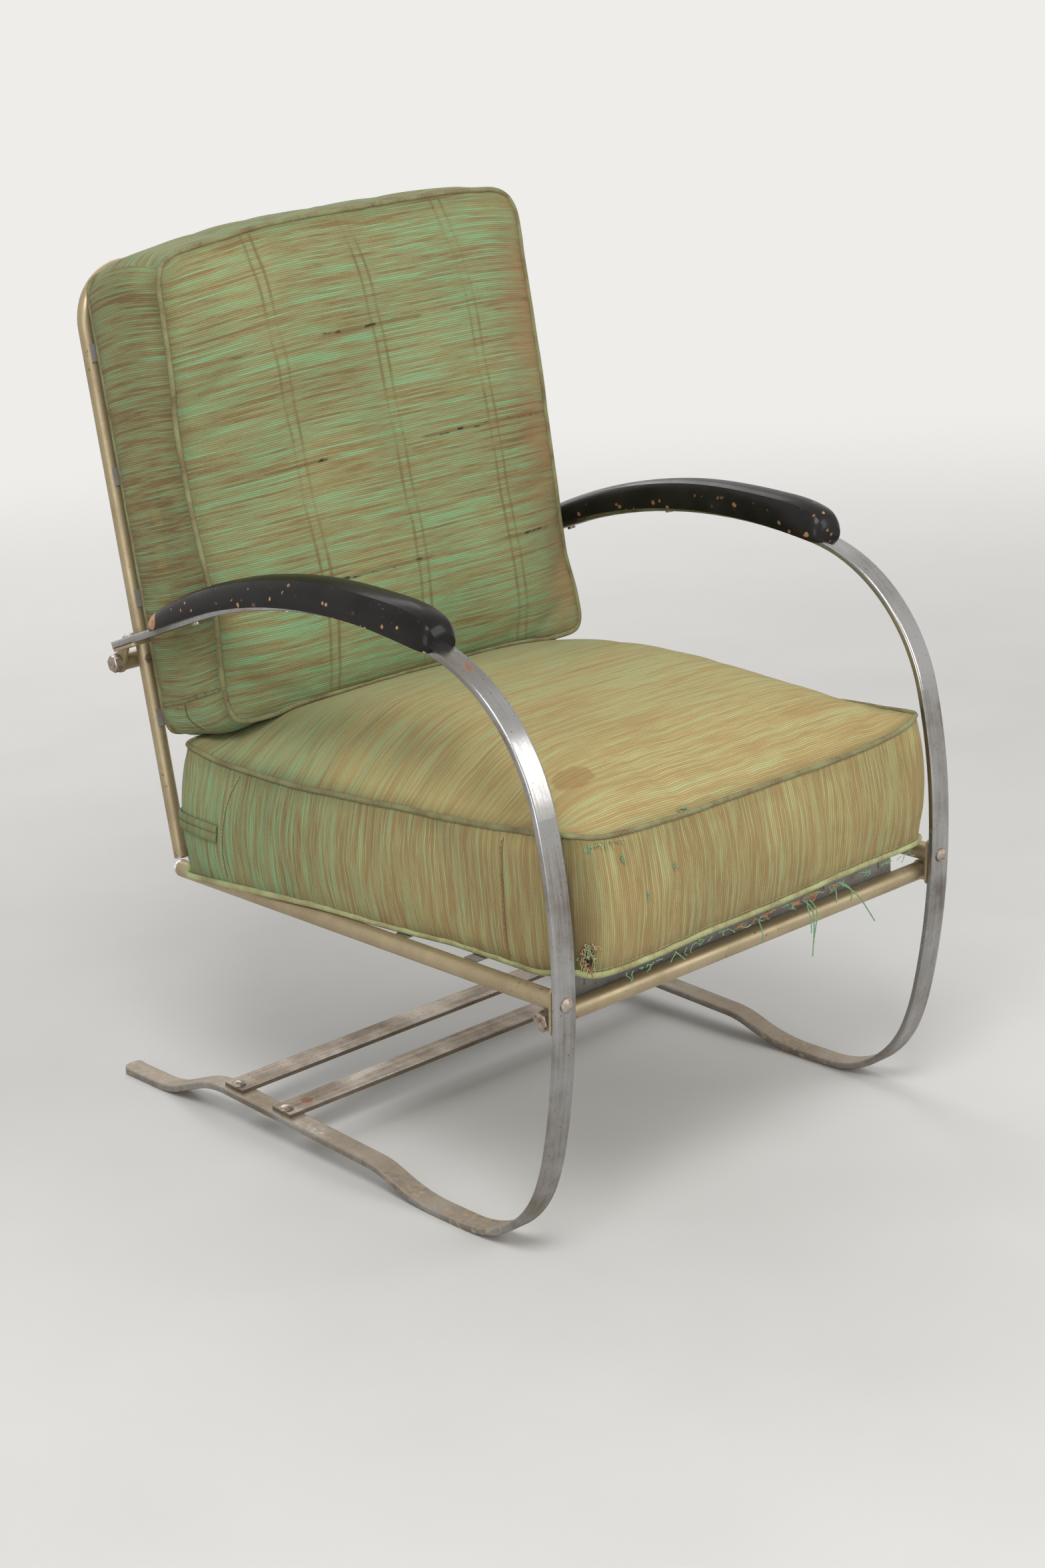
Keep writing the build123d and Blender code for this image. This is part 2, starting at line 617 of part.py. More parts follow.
def back_frame():
    frame = back_u(BACK_RADIUS) - back_u(BACK_BORE)
    for side in (-1, 1):
        middle = side * BACK_HALF_WIDTH
        inner = side * (BACK_HALF_WIDTH - BACK_RADIUS - 2)
        low, high = sorted((inner, middle))
        frame -= rod_x(low, high, LUG_BOLT_Y, LUG_BOLT_Z, SMALL_BOLT / 2 + FIT)
    return frame - both(tie_hole())


def back_frame_plug():
    plug = Pos(0, 0, -5) * Cylinder(BACK_BORE - FIT, 10) + Pos(0, 0, 1) * Cylinder(BACK_RADIUS, 2)
    end = BACK_PLANE.from_local_coords(Vector(BACK_HALF_WIDTH, 0, 0))
    return Plane(end, x_dir=(1, 0, 0), z_dir=-BACK_PLANE.y_dir) * plug


def rounded_bar(first, second, radius):
    """Outline of a flat link with round ends, in the plane square to X."""
    ends = (Pos(*first) * Circle(radius)).edges() + (Pos(*second) * Circle(radius)).edges()
    return make_hull(ends)


def back_lug():
    """Bent link inside the back tube: it runs back from the seat's rear tube and turns up to the bolt."""
    foot = (SEAT_REAR_TUBE_Y + TUBE_RADIUS, SEAT_TUBE_Z - 1)
    corner = (LUG_CORNER_Y, SEAT_TUBE_Z - 1)
    profile = rounded_bar(foot, corner, LUG_FOOT_RADIUS)
    profile += rounded_bar(corner, (LUG_BOLT_Y, LUG_BOLT_Z), LUG_BOLT_RADIUS - 1)
    profile += Pos(LUG_BOLT_Y, LUG_BOLT_Z) * Circle(LUG_BOLT_RADIUS)
    lug = Plane.YZ * Pos(0, 0, LUG_INNER_X) * extrude(profile, LUG_THICKNESS)
    lug -= rod_x(LUG_INNER_X - 1, LUG_OUTER_X + 1, SEAT_REAR_TUBE_Y, SEAT_TUBE_Z, TUBE_RADIUS + WELD_GAP)
    return lug - rod_x(LUG_INNER_X - 1, LUG_OUTER_X + 1, LUG_BOLT_Y, LUG_BOLT_Z, SMALL_BOLT / 2 + FIT)


def lug_bolt():
    """Bolt driven from the inner side into the back tube; nothing shows outside."""
    grip = LUG_THICKNESS + TUBE_WALL + BACK_BORE
    bolt = flat_pin(SMALL_BOLT_HEAD, 3.0, SMALL_BOLT, grip)
    plane = Plane((LUG_INNER_X - WELD_GAP, LUG_BOLT_Y, LUG_BOLT_Z), x_dir=(0, 1, 0), z_dir=(-1, 0, 0))
    return [plane * bolt]


STRAP_BACK = BACK_RADIUS + WELD_GAP
STRAP_MIDDLE = STRAP_BACK + STRAP_THICKNESS
STRAP_FRONT = STRAP_MIDDLE + STRAP_THICKNESS
BACK_CROSS_UP = [BACK_CROSS_FIRST + BACK_CROSS_SPACING * i for i in range(4)]


def back_cross_straps():
    half = STRAP_WIDTH / 2
    end = BACK_HALF_WIDTH + 4
    return [
        BACK_PLANE * box_between((-end, up - half, STRAP_BACK), (end, up + half, STRAP_MIDDLE))
        for up in BACK_CROSS_UP
    ]


def back_upright_straps():
    half = STRAP_WIDTH / 2
    low = BACK_CROSS_UP[0] - half
    return [
        BACK_PLANE * box_between((x - half, low, STRAP_MIDDLE), (x + half, BACK_LENGTH, STRAP_FRONT))
        for x in (-BACK_STRAP_SPACING, 0, BACK_STRAP_SPACING)
    ]


SEAT_BOTTOM_Z = SEAT_TUBE_Z + TUBE_RADIUS + REST_GAP


def curve_through(share, first, middle, last):
    """Height on a smooth curve through three values; share runs from -1 at the front to 1 at the rear."""
    return first * share * (share - 1) / 2 + middle * (1 - share**2) + last * share * (share + 1) / 2


def seat_top(side, share):
    """Height of the top panel; side is the share of the half width."""
    front = SEAT_WELT_Z - 10 + 10 * side**4
    rear = SEAT_WELT_Z - 25 + 3 * side**4
    middle = SEAT_WELT_Z - 28 + (SEAT_CROWN + 28) * (1 - abs(side) ** 3.3)
    return curve_through(share, front, middle, rear)


def seat_section(share, shift, inset):
    """Left-to-right section of the seat cushion: flat below, bowed sides, crowned or sagging top."""
    y = SEAT_FRONT_Y + SEAT_DEPTH * (share + 1) / 2
    rise = min(max((y - 190) / 280, 0), 1)
    flare = SEAT_REAR_FLARE * rise**2 * (3 - 2 * rise)
    foot = SEAT_HALF_WIDTH + flare - inset
    edge = SEAT_HALF_WIDTH + 0.55 * flare - inset
    low = SEAT_BOTTOM_Z + inset
    tops = [(side * edge, seat_top(side, share) - inset) for side in (-1, -0.88, -0.55, 0, 0.55, 0.88, 1)]
    half_way = (low + tops[0][1]) / 2
    bow = max(foot, edge) + SIDE_BULGE
    edges = [
        Line((-foot, low), (foot, low)),
        ThreePointArc((foot, low), (bow, half_way), tops[-1]),
        Spline(tops[::-1]),
        ThreePointArc(tops[0], (-bow, half_way), (-foot, low)),
    ]
    plane = Plane((0, y + shift, 0), x_dir=(1, 0, 0), z_dir=(0, -1, 0))
    return plane * make_face(Curve() + edges)


def seat_cushion():
    shares = (-1, -0.8, -0.45, 0, 0.45, 0.8, 1)
    cushion = loft([seat_section(share, 0, 0) for share in shares])
    for share, bulge in ((-1, -CUSHION_BULGE), (1, CUSHION_BULGE)):
        cushion += loft([seat_section(share, 0, 0), seat_section(share, bulge, 26)])
    return cushion


def back_section(x, drop, crown, inset):
    """Section of the back cushion in the plane square to X; local X is forward and local Y is up the back."""
    rear = BACK_CUSHION_REAR + inset
    front = BACK_CUSHION_REAR + BACK_CUSHION_THICKNESS - inset
    low = BACK_CUSHION_BOTTOM + inset
    top = BACK_CUSHION_TOP - drop - inset
    middle = (rear + front) / 2
    touch = STRAP_FRONT + REST_GAP
    rear_belly = rear - (BACK_CUSHION_REAR - touch) * crown
    edges = [
        ThreePointArc((rear, top + 14), (rear_belly, (low + top) / 2), (rear, low)),
        ThreePointArc((rear, low), (middle, low - 3), (front, low + 8)),
        ThreePointArc((front, low + 8), (front + BACK_CROWN * crown, (low + top) / 2), (front, top)),
        ThreePointArc((front, top), (middle, top + 16 + 4 * crown), (rear, top + 14)),
    ]
    origin = BACK_PLANE.from_local_coords(Vector(x, 0, 0))
    plane = Plane(origin, x_dir=BACK_PLANE.z_dir, z_dir=BACK_PLANE.z_dir.cross(BACK_PLANE.y_dir))
    return plane * make_face(Curve() + edges)


def back_cushion(seat):
    # Each station: share of the half width, drop of the top edge, share of the crown
    stations = [
        (1.0, 44.0, 0.12),
        (0.955, 18.0, 0.32),
        (0.86, 4.5, 0.62),
        (0.55, 0.0, 0.9),
        (0.0, 0.0, 1.0),
    ]
    sections = []
    for share, drop, crown in stations + stations[-2::-1]:
        sign = -1 if len(sections) < len(stations) else 1
        sections.append(back_section(sign * share * BACK_CUSHION_HALF_WIDTH, drop, crown, 0))
    cushion = loft(sections)
    share, drop, crown = stations[0]
    for side in (-1, 1):
        edge = back_section(side * BACK_CUSHION_HALF_WIDTH, drop, crown, 0)
        outer = back_section(side * (BACK_CUSHION_HALF_WIDTH + SIDE_BULGE), drop, crown, 24)
        cushion += loft([edge, outer])
    return cushion - Pos(0, 0, REST_GAP) * seat


# Build every node in the shop frame
right = Pos(BAR_X, 0, 0)
left = Pos(-BAR_X, 0, 0)
bar = side_bar()
pad = arm_pad()
screws = pad_screws()
front_bracket = seat_bracket()
rear_bracket = arm_bracket()
tube = seat_tube()
lug = back_lug()
seat = seat_cushion()
cross_ends = [(FRONT_TUBE_Y, FRONT_TUBE_Z), (REAR_TUBE_Y, REAR_TUBE_Z)]
rear_cross_tube = cross_tube(REAR_TUBE_Y, REAR_TUBE_Z) - both(tie_hole())

NODES = {
    "side_bar_left": [left * bar],
    "side_bar_right": [right * bar],
    "arm_pad_left": [left * pad],
    "arm_pad_right": [right * pad],
    "arm_pad_screws": [place * screw for place in (left, right) for screw in screws],
    "floor_brace_front": [floor_brace(BRACE_FRONT_ALONG)],
    "floor_brace_rear": [floor_brace(BRACE_REAR_ALONG)],
    "floor_brace_rivets": brace_rivets(),
    "seat_bracket_left": [mirrored(front_bracket)],
    "seat_bracket_right": [front_bracket],
    "seat_tube_left": [mirrored(tube)],
    "seat_tube_right": [tube],
    "seat_tube_plugs": both(seat_tube_plug()),
    "seat_tube_caps": both(seat_tube_cap()),
    "seat_bolts": both(seat_bolt()),
    "front_cross_tube": [cross_tube(FRONT_TUBE_Y, FRONT_TUBE_Z)],
    "rear_cross_tube": [rear_cross_tube],
    "cross_tube_plugs": [part for y, z in cross_ends for part in both(cross_tube_plug(y, z))],
    "cross_tube_washers": [part for y, z in cross_ends for part in both(washer(y, z))],
    "cross_tube_bolts": [part for y, z in cross_ends for part in both(cross_tube_bolt(y, z))],
    "arm_bracket_left": [mirrored(rear_bracket)],
    "arm_bracket_right": [rear_bracket],
    "arm_bracket_rivets": both(arm_rivet()),
    "seat_rear_tube": [seat_rear_tube()],
    "seat_front_rail": [seat_rail(FRONT_TUBE_Y, FRONT_TUBE_Z, 1)],
    "seat_rear_rail": [seat_rail(SEAT_REAR_TUBE_Y, SEAT_TUBE_Z, -1)],
    "seat_straps_long": seat_straps(),
    "seat_straps_cross": seat_cross_straps(),
    "back_frame": [back_frame()],
    "back_frame_plugs": both(back_frame_plug()),
    "back_lug_left": [mirrored(lug)],
    "back_lug_right": [lug],
    "back_lug_bolts": [part for piece in lug_bolt() for part in both(piece)],
    "back_tie_bolts": [part for piece in tie_bolt() for part in both(piece)],
    "back_straps_upright": back_upright_straps(),
    "back_straps_cross": back_cross_straps(),
    "seat_cushion": [seat],
    "back_cushion": [back_cushion(seat)],
}

# The row frame has its origin under the middle of the whole chair
front_edge = min(shape.bounding_box().min.Y for shape in NODES["seat_bolts"])
rear_edge = bar.bounding_box().max.Y
to_row = Pos(0, -(front_edge + rear_edge) / 2, 0)

for name, shapes in NODES.items():
    solids = [solid for shape in shapes for solid in shape.solids()]
    node = solids[0] if len(solids) == 1 else Compound(solids)
    export_step(to_row * node, f"parts/{name}.step")
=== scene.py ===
# %% [markdown]
# A cantilever armchair from the porch: two bent spring-steel bars, a tube seat, a strapped back and two
# loose box cushions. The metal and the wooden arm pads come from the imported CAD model, which stays where
# it is. This lesson gives them their worn finishes, and makes the two cushions as real stuffed cloth.

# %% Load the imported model
import math
import random
import bpy
from mathutils import Matrix, Vector
from mathutils import noise as wobble
from mathutils.bvhtree import BVHTree
from mathutils.kdtree import KDTree


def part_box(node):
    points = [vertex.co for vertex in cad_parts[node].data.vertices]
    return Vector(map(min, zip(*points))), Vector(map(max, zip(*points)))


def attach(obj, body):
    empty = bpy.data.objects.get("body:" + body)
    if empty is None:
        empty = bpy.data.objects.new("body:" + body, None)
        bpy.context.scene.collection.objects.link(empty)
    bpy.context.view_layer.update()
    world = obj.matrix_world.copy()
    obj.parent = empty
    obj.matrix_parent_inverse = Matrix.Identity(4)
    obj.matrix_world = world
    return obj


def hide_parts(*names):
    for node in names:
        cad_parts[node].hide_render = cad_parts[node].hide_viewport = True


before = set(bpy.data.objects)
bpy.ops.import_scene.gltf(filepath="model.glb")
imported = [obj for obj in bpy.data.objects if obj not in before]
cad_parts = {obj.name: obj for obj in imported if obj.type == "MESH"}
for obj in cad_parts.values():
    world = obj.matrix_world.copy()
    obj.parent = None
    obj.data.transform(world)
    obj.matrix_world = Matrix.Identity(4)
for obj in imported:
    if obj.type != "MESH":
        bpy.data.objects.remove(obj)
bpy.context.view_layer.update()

scene = bpy.context.scene
scene.view_settings.view_transform = "Standard"
bpy.ops.object.select_all(action="DESELECT")

# %% [markdown]
# The camera stands where the photographer stood: a little left of the chair, above arm height, with a
# mild tele lens. Its direction is given by a turn, a downward tilt and a small roll, and the camera's own
# axes are worked out from them, because a camera looks along its local minus Z.

# %% Camera
CAMERA_PLACE = Vector((-1.83697, -2.18634, 1.24785))
CAMERA_TURN = math.radians(40.43)
CAMERA_TILT = math.radians(17.43)
CAMERA_ROLL = 0.0685
LENS_LENGTH = 63.905
SENSOR_WIDTH = 36

look = Vector((
    math.sin(CAMERA_TURN) * math.cos(CAMERA_TILT),
    math.cos(CAMERA_TURN) * math.cos(CAMERA_TILT),
    -math.sin(CAMERA_TILT),
))
level_right = Vector((math.cos(CAMERA_TURN), -math.sin(CAMERA_TURN), 0))
level_down = look.cross(level_right)
right = math.cos(CAMERA_ROLL) * level_right + math.sin(CAMERA_ROLL) * level_down
down = math.cos(CAMERA_ROLL) * level_down - math.sin(CAMERA_ROLL) * level_right
turned = Matrix((right, -down, -look)).transposed().to_4x4()

bpy.ops.object.camera_add()
camera = bpy.context.object
camera.name = "photo_camera"
camera.data.lens = LENS_LENGTH
camera.data.sensor_width = SENSOR_WIDTH
camera.matrix_world = Matrix.Translation(CAMERA_PLACE) @ turned
scene.camera = camera
print("camera at", [round(value, 3) for value in camera.location])

# %% [markdown]
# Each finish below is a small tree of nodes. These helpers keep the trees readable. A value is one output
# of a node, and sums, products and powers of values become Math nodes, so that a finish reads like plain
# arithmetic on noises, ramps and mixes.

# %% Node helpers
class Value:
    """An output of a node. Sums, products and powers of values become Math nodes."""

    def __init__(self, socket):
        self.socket = socket
        self.tree = socket.id_data

    def __add__(self, other):
        return number("ADD", self, other)

    def __sub__(self, other):
        return number("SUBTRACT", self, other)

    def __rsub__(self, other):
        return number("SUBTRACT", other, self)

    def __mul__(self, other):
        return number("MULTIPLY", self, other)

    def __truediv__(self, other):
        return number("DIVIDE", self, other)

    def __pow__(self, other):
        return number("POWER", self, other)

    def __abs__(self):
        return number("ABSOLUTE", self)


def dress(node, looks):
    """Fill inputs of a node with values, or with plain numbers and colours."""
    for name, value in looks.items():
        if isinstance(value, Value):
            value.tree.links.new(value.socket, node.inputs[name])
        else:
            node.inputs[name].default_value = value


def made(tree, kind, looks, output=0, **settings):
    """One output of a new node."""
    node = tree.nodes.new("ShaderNode" + kind)
    for name, value in settings.items():
        setattr(node, name, value)
    dress(node, looks)
    return Value(node.outputs[output])


def number(operation, *values):
    tree = next(value.tree for value in values if isinstance(value, Value))
    return made(tree, "Math", dict(enumerate(values)), operation=operation)


def largest(first, *others):
    for other in others:
        first = number("MAXIMUM", first, other)
    return first


def weighed(*parts):
    """Sum of values, each times its weight."""
    total = None
    for value, weight in parts:
        part = value * weight
        total = part if total is None else total + part
    return total


def noise(place, scale, detail=2.0, rough=0.5):
    looks = {"Vector": place, "Scale": scale, "Detail": detail, "Roughness": rough}
    return made(place.tree, "TexNoise", looks, "Fac")


def stretched_noise(place, size, detail):
    return noise(made(place.tree, "Mapping", {"Vector": place, "Scale": size}), 1.0, detail)


def stretch(value, low, high, out_low=0.0, out_high=1.0):
    """Bring a value between low and high to the new range, and hold it there."""
    looks = {"Value": value, "From Min": low, "From Max": high, "To Min": out_low, "To Max": out_high}
    return made(value.tree, "MapRange", looks, "Result", interpolation_type="SMOOTHSTEP")


def mix(share, first, second):
    return made(share.tree, "Mix", {0: share, 6: first, 7: second}, 2, data_type="RGBA")


def ramp(value, *stops):
    node = value.tree.nodes.new("ShaderNodeValToRGB")
    dress(node, {0: value})
    elements = node.color_ramp.elements
    while len(elements) < len(stops):
        elements.new(0.5)
    for element, (position, colour) in zip(elements, stops):
        element.position = position
        element.color = colour
    return Value(node.outputs["Color"])


def axes(place):
    node = place.tree.nodes.new("ShaderNodeSeparateXYZ")
    dress(node, {0: place})
    return [Value(output) for output in node.outputs]


def bumped(shader, height, strength, distance):
    looks = {"Height": height, "Strength": strength, "Distance": distance}
    dress(shader, {"Normal": made(height.tree, "Bump", looks)})


def new_finish(name):
    """A material, its shader, and the place on the object as a value."""
    material = bpy.data.materials.new(name)
    material.use_nodes = True
    tree = material.node_tree
    return material, tree.nodes["Principled BSDF"], made(tree, "TexCoord", {}, "Object")


def paint(material, *node_names):
    for node_name in node_names:
        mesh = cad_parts[node_name].data
        mesh.materials.clear()
        mesh.materials.append(material)
    print(material.name, "on", len(node_names), "nodes")


# %% [markdown]
# The chair stands on a plain pale floor under soft studio light. A large lamp high on the left and front is
# the main one, as in the photograph, where the top of the seat is brightest. A lamp at the front right
# and a low one on the left fill the upright sides, one behind keeps the rear readable, and the world adds
# the even light of a room.

# %% Floor, lamps and world
ROOM_COLOUR = (1.0, 0.985, 0.96, 1)
ROOM_LEVEL = 0.86
LIT_LEVEL = 0.40
FLOOR_FADE = (1.0, 4.2)
LAMP_AIM = Vector((0, 0, 0.45))
LAMPS = [
    ("left_lamp", (-1.6, -1.8, 3.5), 1.6, 88),
    ("right_lamp", (1.2, -2.8, 1.8), 1.8, 40),
    ("low_lamp", (-2.7, -1.7, 0.9), 1.6, 20),
    ("rear_lamp", (0.9, 2.5, 2.3), 2.2, 34),
]


def seen_rays(tree):
    """1 for rays that show the surroundings: straight, mirrored or through glass."""
    rays = tree.nodes.new("ShaderNodeLightPath").outputs
    return largest(*(Value(rays[f"Is {kind} Ray"]) for kind in ("Camera", "Glossy", "Transmission")))


bpy.ops.mesh.primitive_plane_add(size=60, location=(0, 0, 0))
floor = bpy.context.object
floor.name = "studio_floor"
pale, shader, place = new_finish("pale_floor")
tree = place.tree
grain = noise(place, 3.0, 3.0)
floor_colour = ramp(grain, (0.3, (0.60, 0.59, 0.575, 1)), (0.7, (0.64, 0.63, 0.615, 1)))
dress(shader, {"Base Color": floor_colour, "Roughness": 0.75})
glow = made(tree, "Emission", {"Color": ROOM_COLOUR, "Strength": ROOM_LEVEL})
x, y = axes(place)[:2]
far_off = stretch(number("SQRT", x**2 + y**2), *FLOOR_FADE)
faded = made(tree, "MixShader", {0: far_off * seen_rays(tree), 1: Value(shader.outputs[0]), 2: glow})
dress(tree.nodes["Material Output"], {"Surface": faded})
floor.data.materials.append(pale)

for name, place, size, power in LAMPS:
    bpy.ops.object.light_add(type="AREA", location=place)
    lamp = bpy.context.object
    lamp.name = name
    lamp.data.size = size
    lamp.data.energy = power
    lamp.rotation_euler = (LAMP_AIM - Vector(place)).to_track_quat("-Z", "Y").to_euler()

world = bpy.data.worlds.new("pale_room")
scene.world = world
world.use_nodes = True
tree = world.node_tree
room_light = stretch(seen_rays(tree), 0.0, 1.0, LIT_LEVEL, ROOM_LEVEL)
dress(tree.nodes["Background"], {"Color": ROOM_COLOUR, "Strength": room_light})
print("lamps", [lamp[0] for lamp in LAMPS])

# %% [markdown]
# The side bars were chrome plated and then lived outdoors. The plating still shines, but it is clouded by
# brown-grey patches, fine pits and rubbed streaks. Colour and roughness come from the same noise, so that
# a dull patch is also a rough one. Near the floor the bars are browner, dust has settled on what faces up,
# and crumbs of dry dirt lie on it. In front of the left arm pad the plating has a small spot of rust.

# %% Worn chrome
RUST_SPOT = (-0.2640, -0.2735, 0.5875)

chrome, shader, place = new_finish("worn_chrome")
clouds = noise(place, 11.0, 5.0, 0.62)
pits = noise(place, 420.0, 2.0, 0.6)
streaks = stretched_noise(place, (260.0, 14.0, 14.0), 3.0)
worn = clouds * 0.72 + streaks * 0.28
plate = ramp(
    worn,
    (0.34, (0.43, 0.433, 0.435, 1)),
    (0.50, (0.335, 0.328, 0.318, 1)),
    (0.62, (0.205, 0.188, 0.166, 1)),
    (0.74, (0.135, 0.104, 0.079, 1)),
)
plate = mix(stretch(pits, 0.66, 0.72), plate, (0.13, 0.095, 0.07, 1))
height = axes(place)[2]
damp = stretch(height, 0.20, 0.02) * stretch(clouds, 0.30, 0.62)
plate = mix(damp * 0.60, plate, (0.215, 0.175, 0.135, 1))
dirt = noise(place, 150.0, 4.0, 0.65)
facing_up = axes(made(place.tree, "NewGeometry", {}, "Normal"))[2]
settled = stretch(height, 0.125, 0.050) * stretch(facing_up, 0.50, 0.80)
settled = settled * stretch(dirt, 0.25, 0.60, 0.40, 0.90)
plate = mix(settled, plate, (0.285, 0.228, 0.160, 1))
crust = stretch(height, 0.034, 0.012) * stretch(dirt, 0.54, 0.62)
plate = mix(crust, plate, (0.36, 0.27, 0.17, 1))
from_spot = made(place.tree, "VectorMath", {0: place, 1: RUST_SPOT}, "Value", operation="DISTANCE")
plate = mix(stretch(from_spot, 0.048, 0.012, 0.0, 0.50), plate, (0.165, 0.130, 0.096, 1))
rust_spot = stretch(from_spot + dirt * 0.034, 0.0240, 0.0180, 0.0, 0.9)
plate = mix(rust_spot, plate, (0.205, 0.078, 0.030, 1))
earth = largest(settled, crust, rust_spot)
dull = stretch(worn, 0.34, 0.70, 0.15, 0.44) + largest(damp, earth) * 0.34
dress(shader, {"Base Color": plate, "Metallic": 1.0 - earth, "Roughness": dull})
bumped(shader, worn + pits * 0.25 + crust, strength=0.16, distance=0.0006)
paint(chrome, "side_bar_left", "side_bar_right")

# %% [markdown]
# The arm pads are wood under black paint. The paint is silky on top, where hands rub it, and chipped to
# tan wood along the outer flank and at the front end. The chips are cells of a Voronoi pattern, bent by
# noise so that no two have the same outline, and kept to the flank by the distance from the chair's
# middle. A stretched noise adds thin nicks, and the rear tip of the left pad has a bare patch.

# %% Chipped black wood
TIP_PLACE = (0.2150, 0.5640)
TIP_SIZE = (0.0105, 0.0095)

wood, shader, place = new_finish("black_wood")
x, y, z = axes(place)
outward = abs(x)
flank = stretch(outward, 0.2790, 0.2850)
inner_edge = stretch(outward, 0.2455, 0.2425, 0.0, 0.45)
front_end = stretch(y, -0.205, -0.235, 0.0, 0.7)
zone = largest(flank, inner_edge, front_end)
ragged = noise(place, 130.0, 3.0, 0.6)
chip = made(place.tree, "TexVoronoi", {"Vector": place, "Scale": 95.0}, "Distance") - ragged * 0.55
scatter = stretch(noise(place, 45.0, 1.0), 0.49, 0.55)
chipped = stretch(chip, -0.035, -0.060) * zone * scatter
nick = stretched_noise(place, (900.0, 60.0, 200.0), 1.0)
nicked = stretch(nick, 0.765, 0.80, 0.0, 0.7) * flank
from_tip = ((y - TIP_PLACE[0]) / TIP_SIZE[0]) ** 2 + ((z - TIP_PLACE[1]) / TIP_SIZE[1]) ** 2
tip_bare = stretch(from_tip + ragged * 0.9, 1.50, 1.25) * stretch(x, -0.264, -0.268)
bared = largest(chipped, nicked, tip_bare)
rubbed = noise(place, 26.0, 4.0)
black = ramp(rubbed, (0.35, (0.0052, 0.0048, 0.0046, 1)), (0.7, (0.013, 0.0115, 0.010, 1)))
bare = ramp(ragged, (0.3, (0.33, 0.135, 0.05, 1)), (0.7, (0.56, 0.30, 0.145, 1)))
dress(shader, {
    "Base Color": mix(bared, black, bare),
    "Specular IOR Level": 0.10,
    "Coat Weight": 0.20,
    "Coat Roughness": 0.14,
    "Roughness": stretch(rubbed, 0.3, 0.75, 0.30, 0.50),
})
bumped(shader, rubbed * 0.12 - bared, strength=0.5, distance=0.0006)
paint(wood, "arm_pad_left", "arm_pad_right")

# %% [markdown]
# Seat tubes, cross tubes and the back hoop have a champagne gold paint, warm and a little metallic. Dust
# dulls it in soft patches, and small rust specks have broken through.

# %% Gold paint
gold, shader, place = new_finish("gold_paint")
dust = noise(place, 16.0, 4.0, 0.6)
fleck = noise(place, 900.0, 1.0)
rust_zone = stretch(noise(place, 9.0, 2.0), 0.42, 0.62)
rusty = stretch(noise(place, 210.0, 3.0, 0.65), 0.64, 0.70) * rust_zone
coat = ramp(dust, (0.3, (0.415, 0.335, 0.205, 1)), (0.7, (0.300, 0.235, 0.140, 1)))
coat = mix(stretch(fleck, 0.5, 0.8, 0.0, 0.35), coat, (0.52, 0.44, 0.29, 1))
dress(shader, {
    "Base Color": mix(rusty, coat, (0.10, 0.042, 0.018, 1)),
    "Metallic": 0.55,
    "Roughness": stretch(dust, 0.3, 0.7, 0.34, 0.50),
})
bumped(shader, fleck * 0.3 + rusty, strength=0.2, distance=0.0004)
paint(
    gold,
    "seat_tube_left", "seat_tube_right", "seat_bracket_left", "seat_bracket_right",
    "front_cross_tube", "rear_cross_tube", "seat_rear_tube", "back_frame",
    "arm_bracket_left", "arm_bracket_right", "back_lug_left", "back_lug_right",
)

# %% [markdown]
# The two floor braces are flat bars of bare steel that has gone brown and dull. On the front brace each
# rivet has a neighbour: a flush, rusted plug about a thumb's width further in. It is drawn as a round
# patch at a set distance from the chair's middle, and the absolute value of X gives it to both sides.

# %% Bare steel braces
PLUG_X = 0.237


def brace_steel(name, plug_y=None):
    material, shader, place = new_finish(name)
    clouds = noise(place, 14.0, 5.0, 0.65)
    pits = noise(place, 330.0, 2.0)
    tone = clouds * 0.7 + stretched_noise(place, (6.0, 480.0, 90.0), 2.0) * 0.3
    steel = ramp(
        tone,
        (0.32, (0.300, 0.265, 0.220, 1)),
        (0.52, (0.200, 0.162, 0.124, 1)),
        (0.70, (0.115, 0.078, 0.050, 1)),
    )
    steel = mix(stretch(pits, 0.64, 0.72), steel, (0.09, 0.05, 0.028, 1))
    if plug_y is not None:
        x, y = axes(place)[:2]
        reach = number("SQRT", (abs(x) - PLUG_X) ** 2 + (y - plug_y) ** 2) + clouds * 0.004
        steel = mix(stretch(reach, 0.0105, 0.0075), steel, (0.17, 0.066, 0.026, 1))
    dress(shader, {
        "Base Color": steel,
        "Metallic": 0.8,
        "Roughness": stretch(tone, 0.3, 0.7, 0.38, 0.62),
    })
    bumped(shader, tone + pits * 0.4, strength=0.25, distance=0.0006)
    return material


brace_low, brace_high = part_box("floor_brace_front")
paint(brace_steel("bare_steel_front", (brace_low.y + brace_high.y) / 2), "floor_brace_front")
paint(brace_steel("bare_steel_rear"), "floor_brace_rear")

# %% [markdown]
# Rivets, bolts and plugs are small dull steel. Rust gathers where a head meets what it holds, and noise
# alone does for that at this size. The caps on the rear ends of the seat tubes stayed bright.

# %% Fastener steel and bright caps
fastener, shader, place = new_finish("dull_steel")
grime = noise(place, 150.0, 4.0, 0.6)
head = ramp(
    grime,
    (0.32, (0.44, 0.41, 0.37, 1)),
    (0.54, (0.31, 0.26, 0.21, 1)),
    (0.68, (0.19, 0.085, 0.038, 1)),
)
dress(shader, {"Base Color": head, "Metallic": 0.85, "Roughness": stretch(grime, 0.3, 0.7, 0.30, 0.62)})
bumped(shader, grime, strength=0.2, distance=0.0006)
paint(
    fastener,
    "floor_brace_rivets", "arm_pad_screws", "arm_bracket_rivets", "seat_bolts", "seat_tube_plugs",
    "cross_tube_plugs", "cross_tube_washers", "cross_tube_bolts", "back_frame_plugs",
    "back_lug_bolts", "back_tie_bolts",
)

